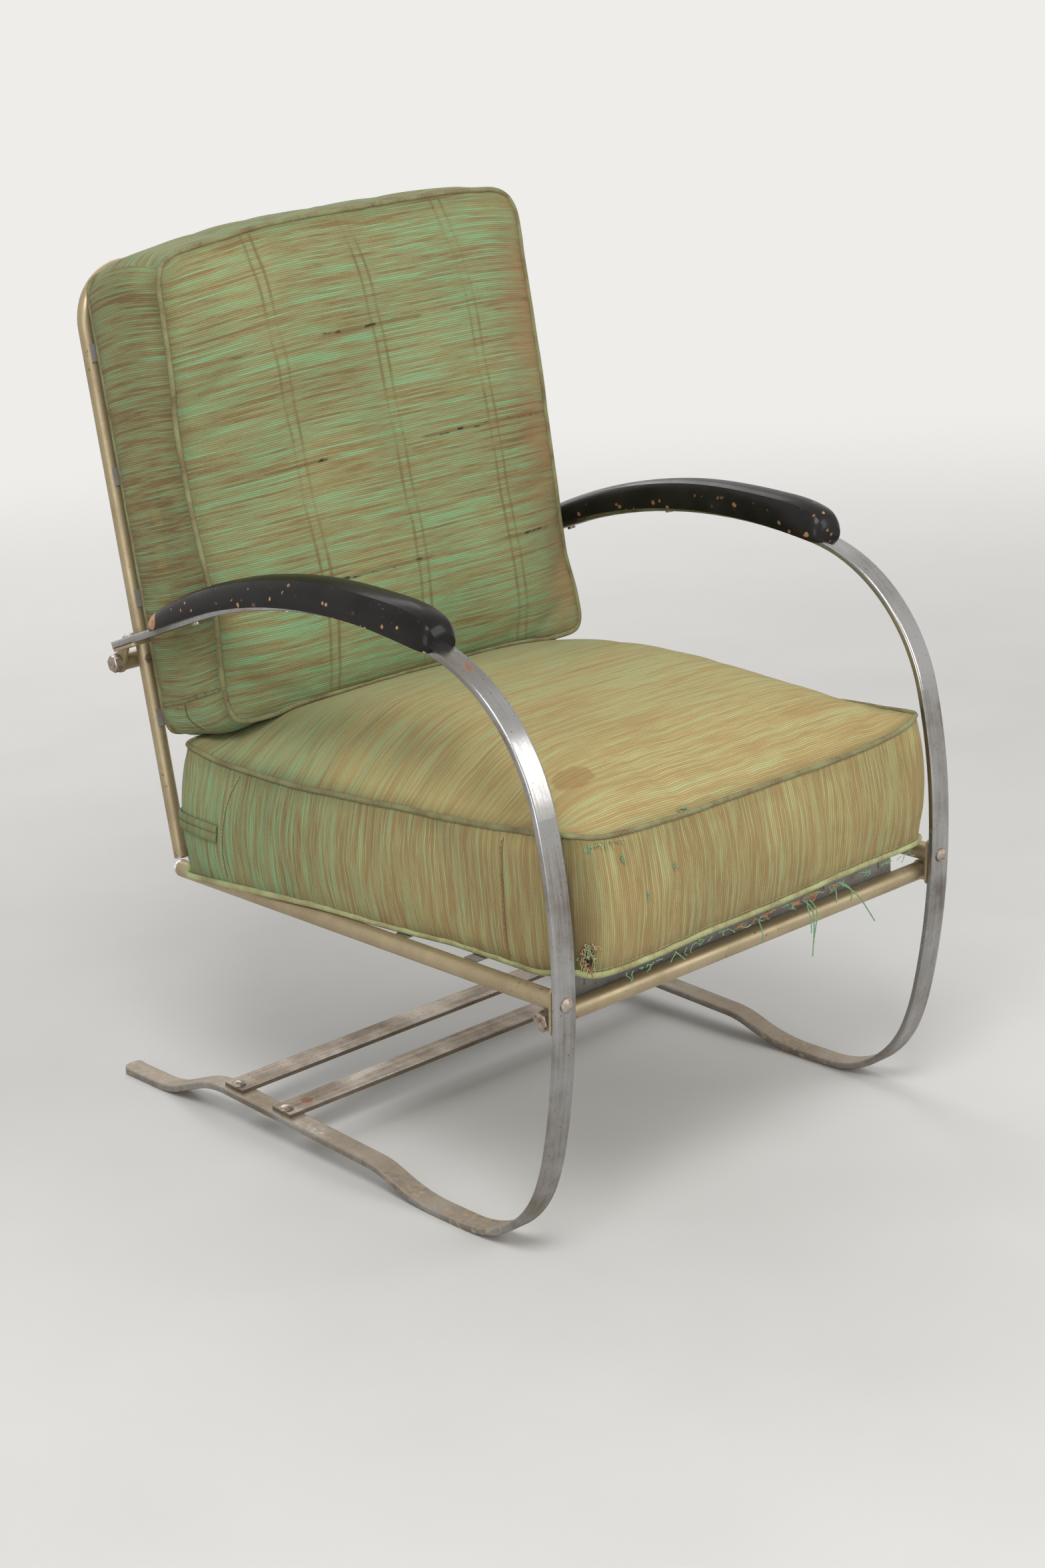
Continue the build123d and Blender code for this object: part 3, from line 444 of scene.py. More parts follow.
cap, shader, place = new_finish("bright_cap")
haze = noise(place, 120.0, 4.0)
shine = ramp(haze, (0.35, (0.70, 0.69, 0.66, 1)), (0.7, (0.48, 0.45, 0.40, 1)))
dress(shader, {"Base Color": shine, "Metallic": 1.0, "Roughness": stretch(haze, 0.3, 0.7, 0.14, 0.32)})
paint(cap, "seat_tube_caps")

# %% [markdown]
# Straps and rails under the cushions are strip steel in matt grey paint. The paint has worn dull and dark
# in patches, where the cushions rub, and the scratches in those patches show rust.

# %% Grey strap paint
strap_grey, shader, place = new_finish("grey_paint")
wear = noise(place, 40.0, 5.0, 0.65)
scratch = noise(place, 260.0, 3.0, 0.6)
coat = ramp(wear, (0.35, (0.30, 0.295, 0.275, 1)), (0.68, (0.20, 0.185, 0.16, 1)))
rusty = stretch(scratch, 0.58, 0.70) * stretch(wear, 0.45, 0.6)
dress(shader, {
    "Base Color": mix(rusty, coat, (0.16, 0.065, 0.026, 1)),
    "Metallic": 0.25,
    "Roughness": stretch(wear, 0.3, 0.7, 0.45, 0.66),
})
bumped(shader, wear + scratch * 0.3, strength=0.2, distance=0.0005)
paint(
    strap_grey,
    "seat_straps_long", "seat_straps_cross", "back_straps_upright", "back_straps_cross",
    "seat_front_rail", "seat_rear_rail",
)

# %% [markdown]
# The cushions are box cushions: a top and a bottom panel joined by a strip called the boxing, with a cord
# of piped cloth, the welt, in each of the two seams. A box cushion starts as a cube here. Its edges are
# subdivided direction by direction into a grid of about 9 mm, so that every grid line runs along or
# across a panel. That keeps the seams as clean rows of points and lets the stripes follow the panels.

# %% Box to sew from
# Grid points past this part of the cube's half size lie on its rim.
RIM = 0.999


def pick_edges(piece, axis):
    """Select the edges that run along one axis of the cube."""
    bpy.ops.object.mode_set(mode="EDIT")
    bpy.ops.mesh.select_mode(type="EDGE")
    bpy.ops.mesh.select_all(action="DESELECT")
    bpy.ops.object.mode_set(mode="OBJECT")
    points = piece.data.vertices
    for edge in piece.data.edges:
        run = points[edge.vertices[1]].co - points[edge.vertices[0]].co
        edge.select = abs(run[axis]) > 1e-6
    bpy.ops.object.mode_set(mode="EDIT")


def gridded_box(name, cuts):
    """A cube with a grid on its faces, and the places of its points on the cube."""
    bpy.ops.object.select_all(action="DESELECT")
    bpy.ops.mesh.primitive_cube_add(size=2)
    piece = bpy.context.object
    piece.name = name
    for axis, count in enumerate(cuts):
        pick_edges(piece, axis)
        bpy.ops.mesh.subdivide(number_cuts=count)
        bpy.ops.object.mode_set(mode="OBJECT")
    print(name, "grid of", len(piece.data.polygons), "faces")
    return piece, [point.co.copy() for point in piece.data.vertices]


def blend_up(value, low, high):
    """Smooth step from 0 at low to 1 at high."""
    share = min(max((value - low) / (high - low), 0.0), 1.0)
    return share * share * (3 - 2 * share)


def through(value, stops):
    """Smooth curve through stops of place and height, level beyond its two ends."""
    if value <= stops[0][0]:
        return stops[0][1]
    if value >= stops[-1][0]:
        return stops[-1][1]
    last = len(stops) - 1
    left = max(i for i in range(last) if stops[i][0] <= value)
    width = stops[left + 1][0] - stops[left][0]
    slopes = []
    for i in (left, left + 1):
        before = stops[max(i - 1, 0)]
        after = stops[min(i + 1, last)]
        slopes.append(width * (after[1] - before[1]) / (after[0] - before[0]))
    share = (value - stops[left][0]) / width
    rise = blend_up(share, 0.0, 1.0)
    start_pull = slopes[0] * share * (1 - share) ** 2
    end_pull = -slopes[1] * share**2 * (1 - share)
    return stops[left][1] * (1 - rise) + stops[left + 1][1] * rise + start_pull + end_pull


def round_corner(x, y, half_x, low_y, high_y, low_radius, high_radius):
    """Round the corners of a rectangle by pulling the corner squares onto quarter circles."""
    side = 1 if x >= 0 else -1
    if y > (low_y + high_y) / 2:
        radius, turn, edge = high_radius, 1, high_y
    else:
        radius, turn, edge = low_radius, -1, low_y
    into_x = side * x - (half_x - radius)
    into_y = turn * (y - edge) + radius
    if into_x <= 0 or into_y <= 0:
        return x, y
    pull = max(into_x, into_y) / math.hypot(into_x, into_y)
    return side * (half_x - radius + into_x * pull), edge + turn * (into_y * pull - radius)


def weave_map(piece, spots, threads):
    """UV map in metres: U runs along the yarn and V across the stripes, panel by panel."""
    layer = piece.data.uv_layers.new(name="weave")
    for face in piece.data.polygons:
        middle = sum((spots[i] for i in face.vertices), Vector()) / len(face.vertices)
        axis = max(range(3), key=lambda i: abs(middle[i]))
        panel = (axis, 1 if middle[axis] > 0 else -1)
        for corner in face.loop_indices:
            spot = spots[piece.data.loops[corner].vertex_index]
            layer.data[corner].uv = threads(panel, spot)


# %% [markdown]
# Stuffing is simulated. The seam rows and the side that rests on the straps are pinned, and pressure from
# inside pushes the panels out between them, with slightly too much cloth so that it puckers along the
# seams. The movement of each point is then held to a limit, because the CAD model gives the real size.
# Afterwards each point stores its distance to the nearest seam, so that the cloth can be dirtier there.

# %% Stuff and sew
SEAM_SLACK = 0.012
STUFFING_PRESSURE = 4.0
STUFFING_STEPS = 20


def stuff(piece, spots, limit, hold):
    """Blow the cloth up between its pinned points, hold it to a limit and smooth it once."""
    rest = [point.co.copy() for point in piece.data.vertices]
    group = piece.vertex_groups.new(name="sewn")
    for index, spot in enumerate(spots):
        group.add([index], 1.0 if on_seam(spot) or spot.z < -RIM else 0.0, "REPLACE")
    cloth = piece.modifiers.new("stuffing", "CLOTH")
    cloth.settings.quality = 5
    cloth.settings.mass = 0.4
    cloth.settings.tension_stiffness = 18
    cloth.settings.compression_stiffness = 18
    cloth.settings.shear_stiffness = 8
    cloth.settings.bending_stiffness = 1.2
    cloth.settings.use_pressure = True
    cloth.settings.uniform_pressure_force = STUFFING_PRESSURE
    cloth.settings.shrink_min = -SEAM_SLACK
    cloth.settings.vertex_group_mass = "sewn"
    cloth.settings.effector_weights.gravity = 0
    cloth.collision_settings.use_collision = False
    cloth.point_cache.frame_start = 1
    cloth.point_cache.frame_end = STUFFING_STEPS
    for step in range(1, STUFFING_STEPS + 1):
        scene.frame_set(step)
    bpy.context.view_layer.objects.active = piece
    bpy.ops.object.modifier_apply(modifier="stuffing")
    scene.frame_set(1)
    farthest = 0.0
    for point, start in zip(piece.data.vertices, rest):
        moved = point.co - start
        if moved.length > limit:
            moved *= limit / moved.length
        farthest = max(farthest, moved.length)
        point.co = hold(start + moved)
    rounding = piece.modifiers.new("rounding", "SUBSURF")
    rounding.levels = 1
    rounding.render_levels = 1
    bpy.context.view_layer.objects.active = piece
    bpy.ops.object.modifier_apply(modifier="rounding")
    bpy.ops.object.shade_smooth()
    for point in piece.data.vertices:
        point.co = hold(point.co)
    print(piece.name, "moved at most", round(farthest * 1000, 1), "mm;", len(piece.data.polygons), "faces")


def around(spots, end):
    """Indices of the grid points of the seam at the high or low end of Z, in order round the cushion."""
    chosen = [i for i, spot in enumerate(spots) if spot.z * end > RIM and on_edge(spot)]
    return sorted(chosen, key=lambda i: math.atan2(spots[i].y, spots[i].x))


def on_edge(spot):
    return max(abs(spot.x), abs(spot.y)) > RIM


def on_seam(spot):
    return abs(spot.z) > RIM and on_edge(spot)


def mark_seams(piece, *seams):
    """Store each point's distance to the nearest seam as an attribute of the mesh."""
    points = piece.data.vertices
    sewn = [points[i].co.copy() for seam in seams for i in seam]
    nearest = KDTree(len(sewn))
    for index, place in enumerate(sewn):
        nearest.insert(place, index)
    nearest.balance()
    gap = piece.data.attributes.new("seam_gap", "FLOAT", "POINT")
    for point, item in zip(points, gap.data):
        item.value = nearest.find(point.co)[2]


def seam_row(piece, order, lift):
    """Places along a seam, a little above the cloth."""
    points = piece.data.vertices
    return [points[i].co + points[i].normal * lift for i in order]


def surface_of(piece):
    points = [point.co.copy() for point in piece.data.vertices]
    return BVHTree.FromPolygons(points, [face.vertices[:] for face in piece.data.polygons])


# %% [markdown]
# Welts, stitches and loose threads are all round curves that are turned into meshes. A welt is one closed
# curve along a seam. A row of stitches is one curve with a short piece for each stitch.

# %% Sewn cords and stitches
def round_curve(name, paths, radius, closed=False, fine=2):
    curve = bpy.data.curves.new(name, "CURVE")
    curve.dimensions = "3D"
    curve.bevel_depth = radius
    curve.bevel_resolution = fine
    curve.use_fill_caps = True
    curve.resolution_u = 2 if closed else 4
    for path in paths:
        line = curve.splines.new("NURBS")
        line.points.add(len(path) - 1)
        for point, place in zip(line.points, path):
            point.co = (*place, 1)
        line.use_cyclic_u = closed
        line.order_u = min(3, len(path))
        line.use_endpoint_u = not closed
    piece = bpy.data.objects.new(name, curve)
    scene.collection.objects.link(piece)
    bpy.ops.object.select_all(action="DESELECT")
    piece.select_set(True)
    bpy.context.view_layer.objects.active = piece
    bpy.ops.object.convert(target="MESH")
    bpy.ops.object.shade_smooth()
    return bpy.context.object


def run_length(path):
    return sum((after - before).length for before, after in zip(path, path[1:]))


def sew_welt(name, path, radius):
    """A piped cord of cloth along a seam, with a UV map in metres along the cord."""
    welt = round_curve(name, [path], radius, closed=True)
    layer = welt.data.uv_layers[0]
    layer.name = "weave"
    length = run_length(path)
    for item in layer.data:
        item.uv = (item.uv[0] * length, item.uv[1] * 6.28 * radius)
    print(name, round(length, 3), "m long")
    return welt


def spaced(path, step):
    """Places a step apart along a row of points."""
    places = [path[0].copy()]
    left = step
    for before, after in zip(path, path[1:]):
        run = (after - before).length
        while left <= run:
            places.append(before.lerp(after, left / run))
            left += step
        left -= run
    return places


def stitch_row(name, paths, pitch, radius):
    """Thread dashes along rows of points: a stitch takes three of every five steps."""
    stitches = []
    for path in paths:
        steps = spaced(path, pitch / 5)
        for start in range(0, len(steps) - 3, 5):
            stitches.append([steps[start], steps[start + 1], steps[start + 3]])
    return round_curve(name, stitches, radius, fine=0)


def sewn_strip(name, rows, rise):
    """A grid laid over rows of places on the cloth, domed between its edges, with a thickness."""
    columns = len(rows[0])
    last_row = len(rows) - 1
    bpy.ops.object.select_all(action="DESELECT")
    bpy.ops.mesh.primitive_grid_add(x_subdivisions=columns - 1, y_subdivisions=last_row, size=2)
    strip = bpy.context.object
    strip.name = name
    layer = strip.data.uv_layers[0]
    layer.name = "weave"
    spots = [(point.co.x, point.co.y) for point in strip.data.vertices]
    length = run_length([place for place, outward in rows[0]])
    width = (rows[-1][0][0] - rows[0][0][0]).length
    for corner, item in zip(strip.data.loops, layer.data):
        along, across = spots[corner.vertex_index]
        item.uv = (20 + across * width / 2, 30 + along * length / 2)
    for point, (along, across) in zip(strip.data.vertices, spots):
        column = round((along + 1) / 2 * (columns - 1))
        place, outward = rows[round((across + 1) / 2 * last_row)][column]
        point.co = place + outward * rise * (1 - 0.75 * across**4)
    wall = strip.modifiers.new("wall", "SOLIDIFY")
    wall.thickness = rise * 1.3
    bpy.ops.object.modifier_apply(modifier="wall")
    bpy.ops.object.mode_set(mode="EDIT")
    bpy.ops.mesh.select_all(action="SELECT")
    bpy.ops.mesh.normals_make_consistent(inside=False)
    bpy.ops.object.mode_set(mode="OBJECT")
    bpy.ops.object.shade_smooth()
    print(name, round(length, 3), "m by", round(width * 1000, 1), "mm")
    return strip


# %% [markdown]
# The seat cushion is about half a metre wide and 61 cm deep. Its top is crowned in the middle and sags
# along the sides. At the front it fits between the bars, and behind them it spreads until it hangs over
# the round side tubes. The heights and widths at a few places are given, and curves join them.

# %% Seat cushion
SEAT_FRONT = -0.3797
SEAT_REAR = 0.2333
SEAT_REAR_TUCK = 0.016
SEAT_LOW = 0.2902
SEAT_CORNER = 0.020
SEAT_SWELL = 0.010
SIDE_BOW = 0.005
FRONT_BOW = 0.006
FOLD_X = 0.095
FOLD_WIDTH = 0.011
FOLD_DEPTH = 0.0045
SEAT_RIPPLE = 0.0012
TUBE_X = 0.265
TUBE_Z = 0.280
TUBE_CLEAR = 0.0108
TUBE_MARGIN = 0.002
OVERHANG_LOW = 0.2740
SEAT_HALF = 0.25
SEAT_BOXING_HALF = 0.070
LOW_SIDES = (
    (-0.380, 0.2470), (-0.207, 0.2477), (-0.150, 0.2545), (-0.068, 0.2630),
    (0.030, 0.2700), (0.115, 0.2752), (0.217, 0.2772),
)
HIGH_SIDES = ((-0.380, 0.2462), (-0.207, 0.2475), (-0.100, 0.2505), (0.050, 0.2530), (0.233, 0.2530))
SIDE_HEIGHTS = (
    (-0.384, 0.4400), (-0.332, 0.4330), (-0.225, 0.4220), (-0.129, 0.4175),
    (-0.027, 0.4110), (0.062, 0.4080), (0.155, 0.4110), (0.225, 0.4190),
)
MIDDLE_HEIGHTS = (
    (-0.380, 0.4215), (-0.345, 0.4400), (-0.290, 0.4585), (-0.220, 0.4710), (-0.120, 0.4790),
    (0.000, 0.4740), (0.090, 0.4580), (0.160, 0.4390), (0.233, 0.4200),
)
FRONT_LOW = (
    (-0.247, 0.3030), (-0.219, 0.2945), (-0.153, 0.2925), (-0.083, 0.2955), (-0.012, 0.2960),
    (0.061, 0.2975), (0.137, 0.3005), (0.232, 0.3020), (0.247, 0.3050),
)
SIDE_LOW = ((-0.300, 0.2902), (-0.068, 0.2896), (0.030, 0.2880), (0.115, 0.2850), (0.217, 0.2780))
SIDE_LIMIT = ((-0.210, 0.2514), (-0.150, 0.2600), (-0.020, 0.2740), (0.100, 0.2830))


def clear_tube(place, clear):
    """Keep a point of the cushion off the round side tube."""
    from_x = abs(place.x) - TUBE_X
    from_z = place.z - TUBE_Z
    apart = math.hypot(from_x, from_z)
    if apart >= clear:
        return place
    grow = clear / apart
    return Vector((math.copysign(TUBE_X + from_x * grow, place.x), place.y, TUBE_Z + from_z * grow))


def seat_top(across, y):
    edge = through(y, SIDE_HEIGHTS) + 0.006 * blend_up(across, 0.2, 1.0) * blend_up(y, -0.38, -0.25)
    return edge + (through(y, MIDDLE_HEIGHTS) - edge) * (1 - abs(across) ** 5.5)


def seat_bottom(side, x, y):
    base = through(y, SIDE_LOW) if side > RIM else SEAT_LOW
    return base + (through(x, FRONT_LOW) - SEAT_LOW) * blend_up(y, -0.310, -0.376)


def seat_form(spot):
    bow = 1 - spot.z * spot.z
    share = (spot.z + 1) / 2
    rear = SEAT_REAR - SEAT_REAR_TUCK * (1 - share) ** 1.5
    along = SEAT_FRONT + (spot.y + 1) / 2 * (rear - SEAT_FRONT)
    half = through(along, LOW_SIDES) * (1 - share) + through(along, HIGH_SIDES) * share
    x, y = round_corner(spot.x * half, along, half, SEAT_FRONT, rear, SEAT_CORNER, SEAT_CORNER)
    if abs(spot.x) > RIM:
        x += math.copysign(SIDE_BOW * bow, spot.x)
    if abs(spot.y) > RIM:
        y += math.copysign(FRONT_BOW * bow, spot.y)
    low = seat_bottom(abs(spot.x), x, y)
    height = low + (seat_top(spot.x, y) - low) * share
    fold = math.exp(-(((x - FOLD_X + 0.25 * (height - 0.36)) / FOLD_WIDTH) ** 2))
    if spot.y < -RIM:
        y += FOLD_DEPTH * fold * bow
    ripple = SEAT_RIPPLE * wobble.noise(Vector((x, y, 0.7)) * 16) * share
    return Vector((x, y, height + ripple))


def seat_threads(panel, spot):
    x = spot.x * SEAT_HALF
    y = (spot.y + 1) * (SEAT_REAR - SEAT_FRONT) / 2
    z = spot.z * SEAT_BOXING_HALF
    if panel[0] == 2:
        return x, y + 3 * panel[1]
    if panel[0] == 1:
        return z + 5, x + 7 * panel[1]
    return z + 9, y + 11 * panel[1]


def seat_hold(place):
    limit = through(place.y, SIDE_LIMIT)
    x = min(max(place.x, -limit), limit)
    low = SEAT_LOW if abs(x) < TUBE_X + TUBE_MARGIN else OVERHANG_LOW
    return clear_tube(Vector((x, place.y, max(place.z, low))), TUBE_CLEAR)


seat, seat_spots = gridded_box("seat_cushion_cloth", (51, 63, 15))
weave_map(seat, seat_spots, seat_threads)
for point, spot in zip(seat.data.vertices, seat_spots):
    point.co = seat_hold(seat_form(spot))
stuff(seat, seat_spots, SEAT_SWELL, seat_hold)

# %% [markdown]
# Near the front left corner the boxing is torn. The points round that spot are pushed in, which makes a
# shallow pit, and the finish of the cloth paints it dark, a painted shade for the inside of the hole. The
# loose threads come later. The lower welt is kept above the straps, so that the cushion can be pulled out
# over them.

# %% Torn spot
TEAR = Vector((-0.2335, -0.3865, 0.3180))
TEAR_SIZE = (0.0070, 0.0130)
TEAR_REACH = 0.02
TEAR_DEPTH = 0.004
UPPER_WELT = 0.0027
LOWER_WELT = 0.0034
WELT_LIFT = 0.0012
STRAP_TOP = 0.2885
WELT_GAP = 0.0006
WELT_TUBE_CLEAR = 0.0096

for point in seat.data.vertices:
    gap = point.co - TEAR
    reach = math.hypot(gap.x / TEAR_SIZE[0], gap.z / TEAR_SIZE[1])
    if reach < 1.0 and abs(gap.y) < TEAR_REACH:
        point.co.y += TEAR_DEPTH * (1 - reach**2)

upper_seam = around(seat_spots, 1)
lower_seam = around(seat_spots, -1)
mark_seams(seat, upper_seam, lower_seam)
lower_path = []
for place in seam_row(seat, lower_seam, WELT_LIFT):
    if abs(place.x) < TUBE_X:
        place.z = max(place.z, STRAP_TOP + LOWER_WELT + WELT_GAP)
    lower_path.append(clear_tube(place, WELT_TUBE_CLEAR + LOWER_WELT))
seat_upper_welt = sew_welt("seat_upper_welt", seam_row(seat, upper_seam, WELT_LIFT), UPPER_WELT)
seat_lower_welt = sew_welt("seat_lower_welt", lower_path, LOWER_WELT)

# %% [markdown]
# The back cushion leans with the hoop behind it, so its form is worked out in the hoop's own plane: up
# the back, and forward from it. The front is crowned, the rear seam lies along the hoop, and the seam at
# the front left wanders a little. The sides are narrow between the arm pads and swell above them. The rear
# welt stays in front of the straps, so that the cushion can be lifted past them.

# %% Back cushion
BACK_FOOT = Vector((0, 0.26928, 0.282))
BACK_LEAN = math.radians(7.4)
BACK_UP = Vector((0, math.sin(BACK_LEAN), math.cos(BACK_LEAN)))
BACK_FORWARD = Vector((0, -math.cos(BACK_LEAN), math.sin(BACK_LEAN)))
ARM_GAP_HALF = 0.2402
HOOP_Y = 0.245
HOOP_HALF = 0.2460
SEAT_GAP = 0.0036
NEAR_SEAT = 0.56
RAY_HEIGHT = 0.7
BACK_HALF = 0.240
BACK_LOW = 0.134
BACK_LENGTH = 0.526
BACK_BOXING_HALF = 0.064
BACK_CROWN = 0.026
BACK_RIPPLE = 0.0014
BACK_SWELL = 0.008
BACK_WELT = 0.0029
REAR_WELT_CLEAR = 0.0034
LEFT_SIDES = ((0.300, 0.2362), (0.400, 0.2385), (0.470, 0.2420), (0.660, 0.2420))
RIGHT_SIDES = (
    (0.150, 0.2480), (0.200, 0.2460), (0.250, 0.2390), (0.400, 0.2395),
    (0.470, 0.2435), (0.600, 0.2465), (0.660, 0.2440),
)
REAR_HALF = 0.2425
REAR_SEAM = 0.0116
LEFT_SEAM = (
    (0.140, 0.1375), (0.188, 0.1290), (0.263, 0.1370), (0.302, 0.1350), (0.382, 0.1290),
    (0.470, 0.1350), (0.509, 0.1415), (0.615, 0.1480), (0.660, 0.1470),
)
RIGHT_SEAM = (
    (0.140, 0.1570), (0.200, 0.1550), (0.260, 0.1550), (0.400, 0.1570),
    (0.550, 0.1500), (0.660, 0.1505),
)
FRONT_TOPS = (
    (-0.240, 0.6380), (-0.190, 0.6445), (-0.155, 0.6490), (-0.094, 0.6560), (0.001, 0.6590),
    (0.100, 0.6605), (0.173, 0.6600), (0.225, 0.6560), (0.240, 0.6540),
)


def hoop_place(x, up, forward):
    return BACK_FOOT + Vector((x, 0, 0)) + BACK_UP * up + BACK_FORWARD * forward


def back_form(spot):
    """Cube X is across, Y up the back and Z forward."""
    side = abs(spot.x)
    bow = 1 - spot.z * spot.z
    share = (spot.z + 1) / 2
    low = BACK_LOW + 0.016 * share - 0.007 * bow
    high = through(spot.x * BACK_HALF, FRONT_TOPS) - 0.009 * (1 - share) + 0.007 * bow
    up = low + (high - low) * (spot.y + 1) / 2
    front_half = through(up, RIGHT_SIDES if spot.x > 0 else LEFT_SIDES)
    half = REAR_HALF * (1 - share) + front_half * share
    corner = 0.018 + 0.010 * share
    x, up = round_corner(spot.x * half, up, half, low, high, 0.020, corner)
    dome = (1 - side**5) * (1 - abs(spot.y) ** 3.5)
    left_share = (1 - spot.x) / 2
    front = through(up, LEFT_SEAM) * left_share + through(up, RIGHT_SEAM) * (1 - left_share)
    forward = REAR_SEAM + (front - REAR_SEAM) * share
    if spot.z > RIM:
        forward += BACK_CROWN * dome
    if side > RIM:
        free = blend_up(up, 0.37, 0.47) * blend_up(up, 0.66, 0.60)
        x += math.copysign((0.002 + 0.004 * free) * bow, spot.x)
    ripple = BACK_RIPPLE * wobble.noise(Vector((x, up, 2.3)) * 15)
    return hoop_place(x, up, forward + ripple * share)


def back_threads(panel, spot):
    x = spot.x * BACK_HALF
    up = BACK_LOW + (spot.y + 1) / 2 * BACK_LENGTH
    forward = spot.z * BACK_BOXING_HALF
    if panel[0] == 2:
        return x, up + 2 - 2 * panel[1]
    if panel[0] == 1:
        return x + 5, forward + 7 * panel[1]
    return forward + 9, up + 11 * panel[1]


seat_surface = surface_of(seat)


def back_hold(place):
    above_pads = 0.0085 * blend_up(place.z, 0.655, 0.72)
    below_pads = 0.0095 * blend_up(place.z, 0.545, 0.510)
    limit = ARM_GAP_HALF + above_pads + below_pads
    if place.y > HOOP_Y:
        limit = max(limit, HOOP_HALF)
    x = min(max(place.x, -limit), limit)
    held = Vector((x, place.y, place.z))
    under = seat_surface.ray_cast(Vector((x, place.y, RAY_HEIGHT)), Vector((0, 0, -1)))[0]
    if under and place.z < NEAR_SEAT:
        held.z = max(held.z, under.z + SEAT_GAP)
    return held


back, back_spots = gridded_box("back_cushion_cloth", (51, 55, 13))
weave_map(back, back_spots, back_threads)
for point, spot in zip(back.data.vertices, back_spots):
    point.co = back_form(spot)
stuff(back, back_spots, BACK_SWELL, back_hold)

front_seam = around(back_spots, 1)
rear_seam = around(back_spots, -1)
mark_seams(back, front_seam, rear_seam)
back_front_welt = sew_welt("back_front_welt", seam_row(back, front_seam, lift=0.0010), BACK_WELT)
rear_path = []
for place in seam_row(back, rear_seam, lift=0.0008):
    behind = REAR_SEAM + REAR_WELT_CLEAR - (place - BACK_FOOT).dot(BACK_FORWARD)
    rear_path.append(place + BACK_FORWARD * max(behind, 0.0))
back_rear_welt = sew_welt("back_rear_welt", rear_path, BACK_WELT)

# %% [markdown]
# The seat cover opens with a zip in its rear boxing, between two folded lips that wrap round both rear
# corners and end at an upright seam. To lay the lips on the cloth, rays are sent inwards from a ring
# round the cushion at each height, and the places that they hit become the rows of a strip.

# %% Seat zip and boxing seams
ZIP_HEIGHT = 0.3415
ZIP_RING = Vector((0, 0.060, 0))
ZIP_TURNS = 200
ZIP_SWEEP = math.radians(17.3)
SEAM_STEPS = 40
REAR_SEAM_STOPS = ((0.1335, 0.2960), (0.1365, 0.3230), (0.1335, 0.3750), (0.1230, 0.4030))
FRONT_SEAM_STOPS = ((-0.2885, 0.2990), (-0.2865, 0.3400), (-0.2880, 0.3900), (-0.2900, 0.4200))
HEM_STEP = 0.0021
HEM_STEPS = 112
HEM_HEIGHT = 0.0062


def hit(surface, start, aim, lift=0.0):
    """The place on the cloth that a ray finds, lifted a little, and the way out from there."""
    place, normal = surface.ray_cast(Vector(start), Vector(aim))[:2]
    return place + normal * lift, normal


def seat_ring(height):
    """Places and outward directions on the boxing, from the left side round the rear to the right."""
    found = []
    for turn in range(ZIP_TURNS + 1):
        angle = math.pi - ZIP_SWEEP - (math.pi - 2 * ZIP_SWEEP) * turn / ZIP_TURNS
        outward = Vector((math.cos(angle), math.sin(angle), 0))
        found.append(hit(seat_surface, ZIP_RING + outward * 0.6 + Vector((0, 0, height)), -outward))
    return found


def lip_rows(middle, width):
    return [seat_ring(middle + width * (row / 4 - 0.5)) for row in range(5)]


def side_seam(side, stops, lift):
    """An upright line on the side boxing through stops of depth and height."""
    heights = [z for y, z in stops]
    depths = [(z, y) for y, z in stops]
    path = []
    for step in range(SEAM_STEPS + 1):
        z = heights[0] + (heights[-1] - heights[0]) * step / SEAM_STEPS
        path.append(hit(seat_surface, (side * 0.4, through(z, depths), z), (-side, 0, 0), lift)[0])
    return path


zip_upper_lip = sewn_strip("zip_upper_lip", lip_rows(ZIP_HEIGHT + 0.0036, width=0.0062), rise=0.0017)
zip_lower_lip = sewn_strip("zip_lower_lip", lip_rows(ZIP_HEIGHT - 0.0052, width=0.0086), rise=0.0015)
zip_path = [place + normal * 0.0004 for place, normal in seat_ring(ZIP_HEIGHT)]
zip_teeth = round_curve("zip_teeth", [zip_path], radius=0.0009, fine=1)

seam_paths = [side_seam(side, REAR_SEAM_STOPS, lift=0.0002) for side in (-1, 1)]
seam_paths.append(side_seam(-1, FRONT_SEAM_STOPS, lift=0.0002))
boxing_seams = round_curve("boxing_seams", seam_paths, radius=0.0004, fine=1)
aside = [[place + Vector((0, 0.0026, 0)) for place in path] for path in seam_paths[:2]]
boxing_stitches = stitch_row("boxing_stitches", aside, pitch=0.0040, radius=0.00042)
rust_side = [place + Vector((0, 0.0022, 0)) for place in side_seam(-1, FRONT_SEAM_STOPS, lift=0.0006)]
rust_stitches = stitch_row("rust_stitches", [rust_side], pitch=0.0055, radius=0.00050)

front_edge = []
for step in range(-HEM_STEPS, HEM_STEPS + 1):
    x = step * HEM_STEP
    height = through(x, FRONT_LOW) + HEM_HEIGHT
    front_edge.append(hit(seat_surface, (x, -0.6, height), (0, 1, 0), lift=0.0003)[0])
hem_stitches = stitch_row("hem_stitches", [front_edge], pitch=0.0034, radius=0.00036)
print("stitches on", len(seam_paths) + 2, "rows")

# %% [markdown]
# The back cover's zip is in its bottom boxing. Low on each side the boxing ends in a folded flap with a
# row of stitches above it, and the end of the zip runs down from under it between more stitches.

# %% Back zip flaps
FLAP_FOLD = ((0.0200, 0.1673), (0.0670, 0.1743), (0.0930, 0.1803), (0.1260, 0.1868))
FLAP_START = 0.0210
FLAP_LENGTH = 0.1020
FLAP_STEPS = 48
ZIP_SLIT = ((0.0655, 0.1725), (0.0640, 0.1625), (0.0660, 0.1560), (0.0733, 0.1496), (0.0800, 0.1440))

back_surface = surface_of(back)


